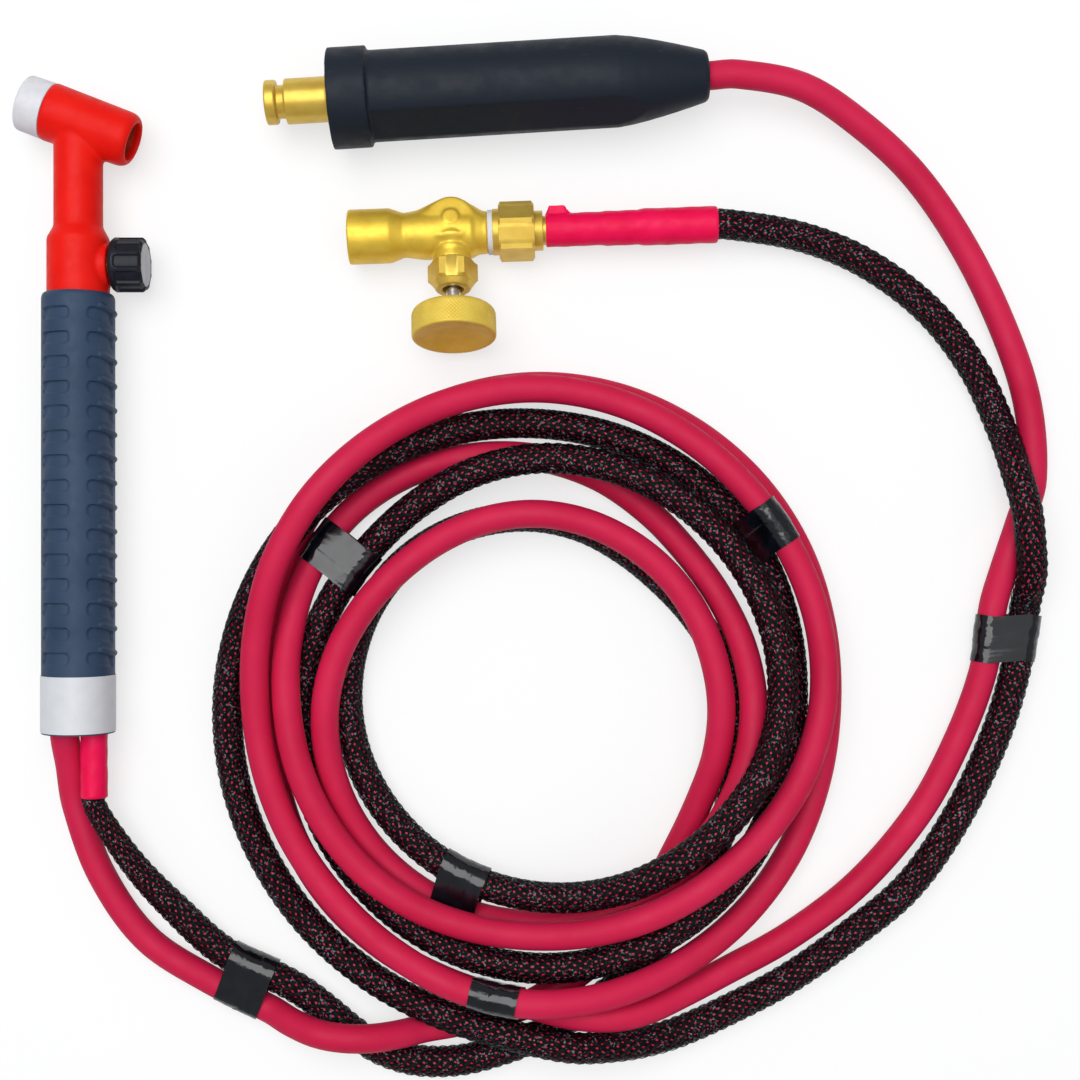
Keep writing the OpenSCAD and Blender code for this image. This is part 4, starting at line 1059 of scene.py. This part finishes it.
def sleeve_places(start, end, outer, inner, edge=0.3):
    side = [(place, outer, 0) for place in np.arange(start + edge * 1.5, end - edge, SLEEVE_STEP)]
    return [(start, inner, 0), (start, outer - edge, 0)] + side + [(end, outer - edge, 0), (end, inner, 0)]


def ear_clamp():
    """The clamp under the sleeve, turned so that its ear points the way that the photo shows."""
    mesh = nodes["hose_clamp"].data.copy()
    moved = RUN_AXIS @ Matrix.Translation((0, 0, CLAMP_SHIFT)) @ turn("Z", EAR_TURN) @ RUN_AXIS.inverted()
    mesh.transform(Matrix.Scale(MM, 4) @ moved @ Matrix.Scale(1 / MM, 4))
    return finish_piece("ear_clamp", mesh, STEEL, "torch", ("hose_clamp",), 40)


revolve("shrink_valve", RUN_AXIS, sleeve_places(SLEEVE_FROM, SLEEVE_END, SLEEVE_R, SLEEVE_BORE_R), SHRINK,
        columns=96, shape=sleeve_shape, stands_for=("shrink_sleeve_valve",), slot="shrink", sharp=60)
clamp = ear_clamp()
revolve("shrink_torch", HOSE_AXIS,
        sleeve_places(HOSE_OUT - TORCH_SLEEVE_OVER, TORCH_SLEEVE_IN, TORCH_SLEEVE_R, TORCH_SLEEVE_BORE_R),
        SHRINK, columns=64, shape=torch_sleeve_shape, stands_for=("shrink_sleeve_torch",), slot="shrink",
        sharp=60)

# CAD pieces that keep their own shape

for name, material in (
        ("head_insert", HEAD_BRASS), ("neck_tube", COPPER), ("valve_block", TURNED_BRASS),
        ("stem_gland", TURNED_BRASS), ("stem_seal", SEAL), ("torch_stem", TURNED_BRASS),
        ("power_connector", TURNED_BRASS), ("hose_barb", TURNED_BRASS), ("hose_core_torch", CORE),
        ("hose_crimp", TURNED_BRASS), ("plug_screw", STEEL), ("packing_ring", SEAL),
        ("gas_valve_stem", STEEL), ("outlet_washer", WASHER), ("hose_nipple", TURNED_BRASS),
        ("hose_core_valve", CORE)):
    dress(nodes[name].data, material)

# Floor and light

FLOOR_HALF = 3.0
FLOOR_AT = -0.0002
FLOOR_GLOW = 0.65
FLOOR_GREY = srgb(196, 196, 198)
WHITE = srgb(255, 255, 255)
CENTRE = (0.155, -0.05, 0.0)
ROOM_COLOUR = (0.95, 0.97, 1.0, 1.0)
ROOM_STRENGTH = 0.36


def floor_material():
    """Grey to the light that bounces off it, and nearly white where it is seen, with the shadows kept."""
    shade = Shader("floor_white", WHITE, 0.9, **{"Specular IOR Level": 0.0})
    ray = shade.add("ShaderNodeLightPath")
    seen = ray.outputs["Is Camera Ray"]
    for kind in ("Is Glossy Ray", "Is Transmission Ray"):
        either = shade.add("ShaderNodeMath", operation="MAXIMUM")
        shade.link(seen, either.inputs[0])
        shade.link(ray.outputs[kind], either.inputs[1])
        seen = either.outputs[0]
    shade.colour(shade.mix(seen, FLOOR_GREY, WHITE))
    glow = shade.add("ShaderNodeEmission", {"Color": WHITE, "Strength": 1.0})
    share = shade.add("ShaderNodeMath", operation="MULTIPLY")
    share.inputs[1].default_value = FLOOR_GLOW
    shade.link(seen, share.inputs[0])
    both = shade.add("ShaderNodeMixShader")
    shade.link(share.outputs[0], both.inputs["Fac"])
    shade.link(shade.bsdf.outputs["BSDF"], both.inputs[1])
    shade.link(glow.outputs["Emission"], both.inputs[2])
    shade.link(both.outputs["Shader"], shade.tree.nodes["Material Output"].inputs["Surface"])
    return shade.material


def stage():
    half = FLOOR_HALF
    mesh = bpy.data.meshes.new("floor")
    corners = [(-half, -half, 0), (half, -half, 0), (half, half, 0), (-half, half, 0)]
    mesh.from_pydata(corners, [], [(0, 1, 2, 3)])
    mesh.materials.append(floor_material())
    floor = bpy.data.objects.new("floor", mesh)
    floor.location.z = FLOOR_AT
    scene.collection.objects.link(floor)


def area_light(name, at, size, power):
    """A round lamp that faces the object's middle."""
    light = bpy.data.lights.new(name, "AREA")
    light.shape = "DISK"
    light.size = size
    light.energy = power
    obj = bpy.data.objects.new(name, light)
    obj.location = at
    obj.rotation_euler = (Vector(CENTRE) - Vector(at)).to_track_quat("-Z", "Y").to_euler()
    scene.collection.objects.link(obj)


stage()
area_light("key", at=(-0.1, 0.3, 1.35), size=1.3, power=15.0)
area_light("fill", at=(0.6, -0.3, 1.2), size=1.2, power=2.0)
world = bpy.data.worlds.new("room")
world.use_nodes = True
background = world.node_tree.nodes["Background"]
background.inputs["Color"].default_value = ROOM_COLOUR
background.inputs["Strength"].default_value = ROOM_STRENGTH
scene.world = world
scene.view_settings.view_transform = "Standard"
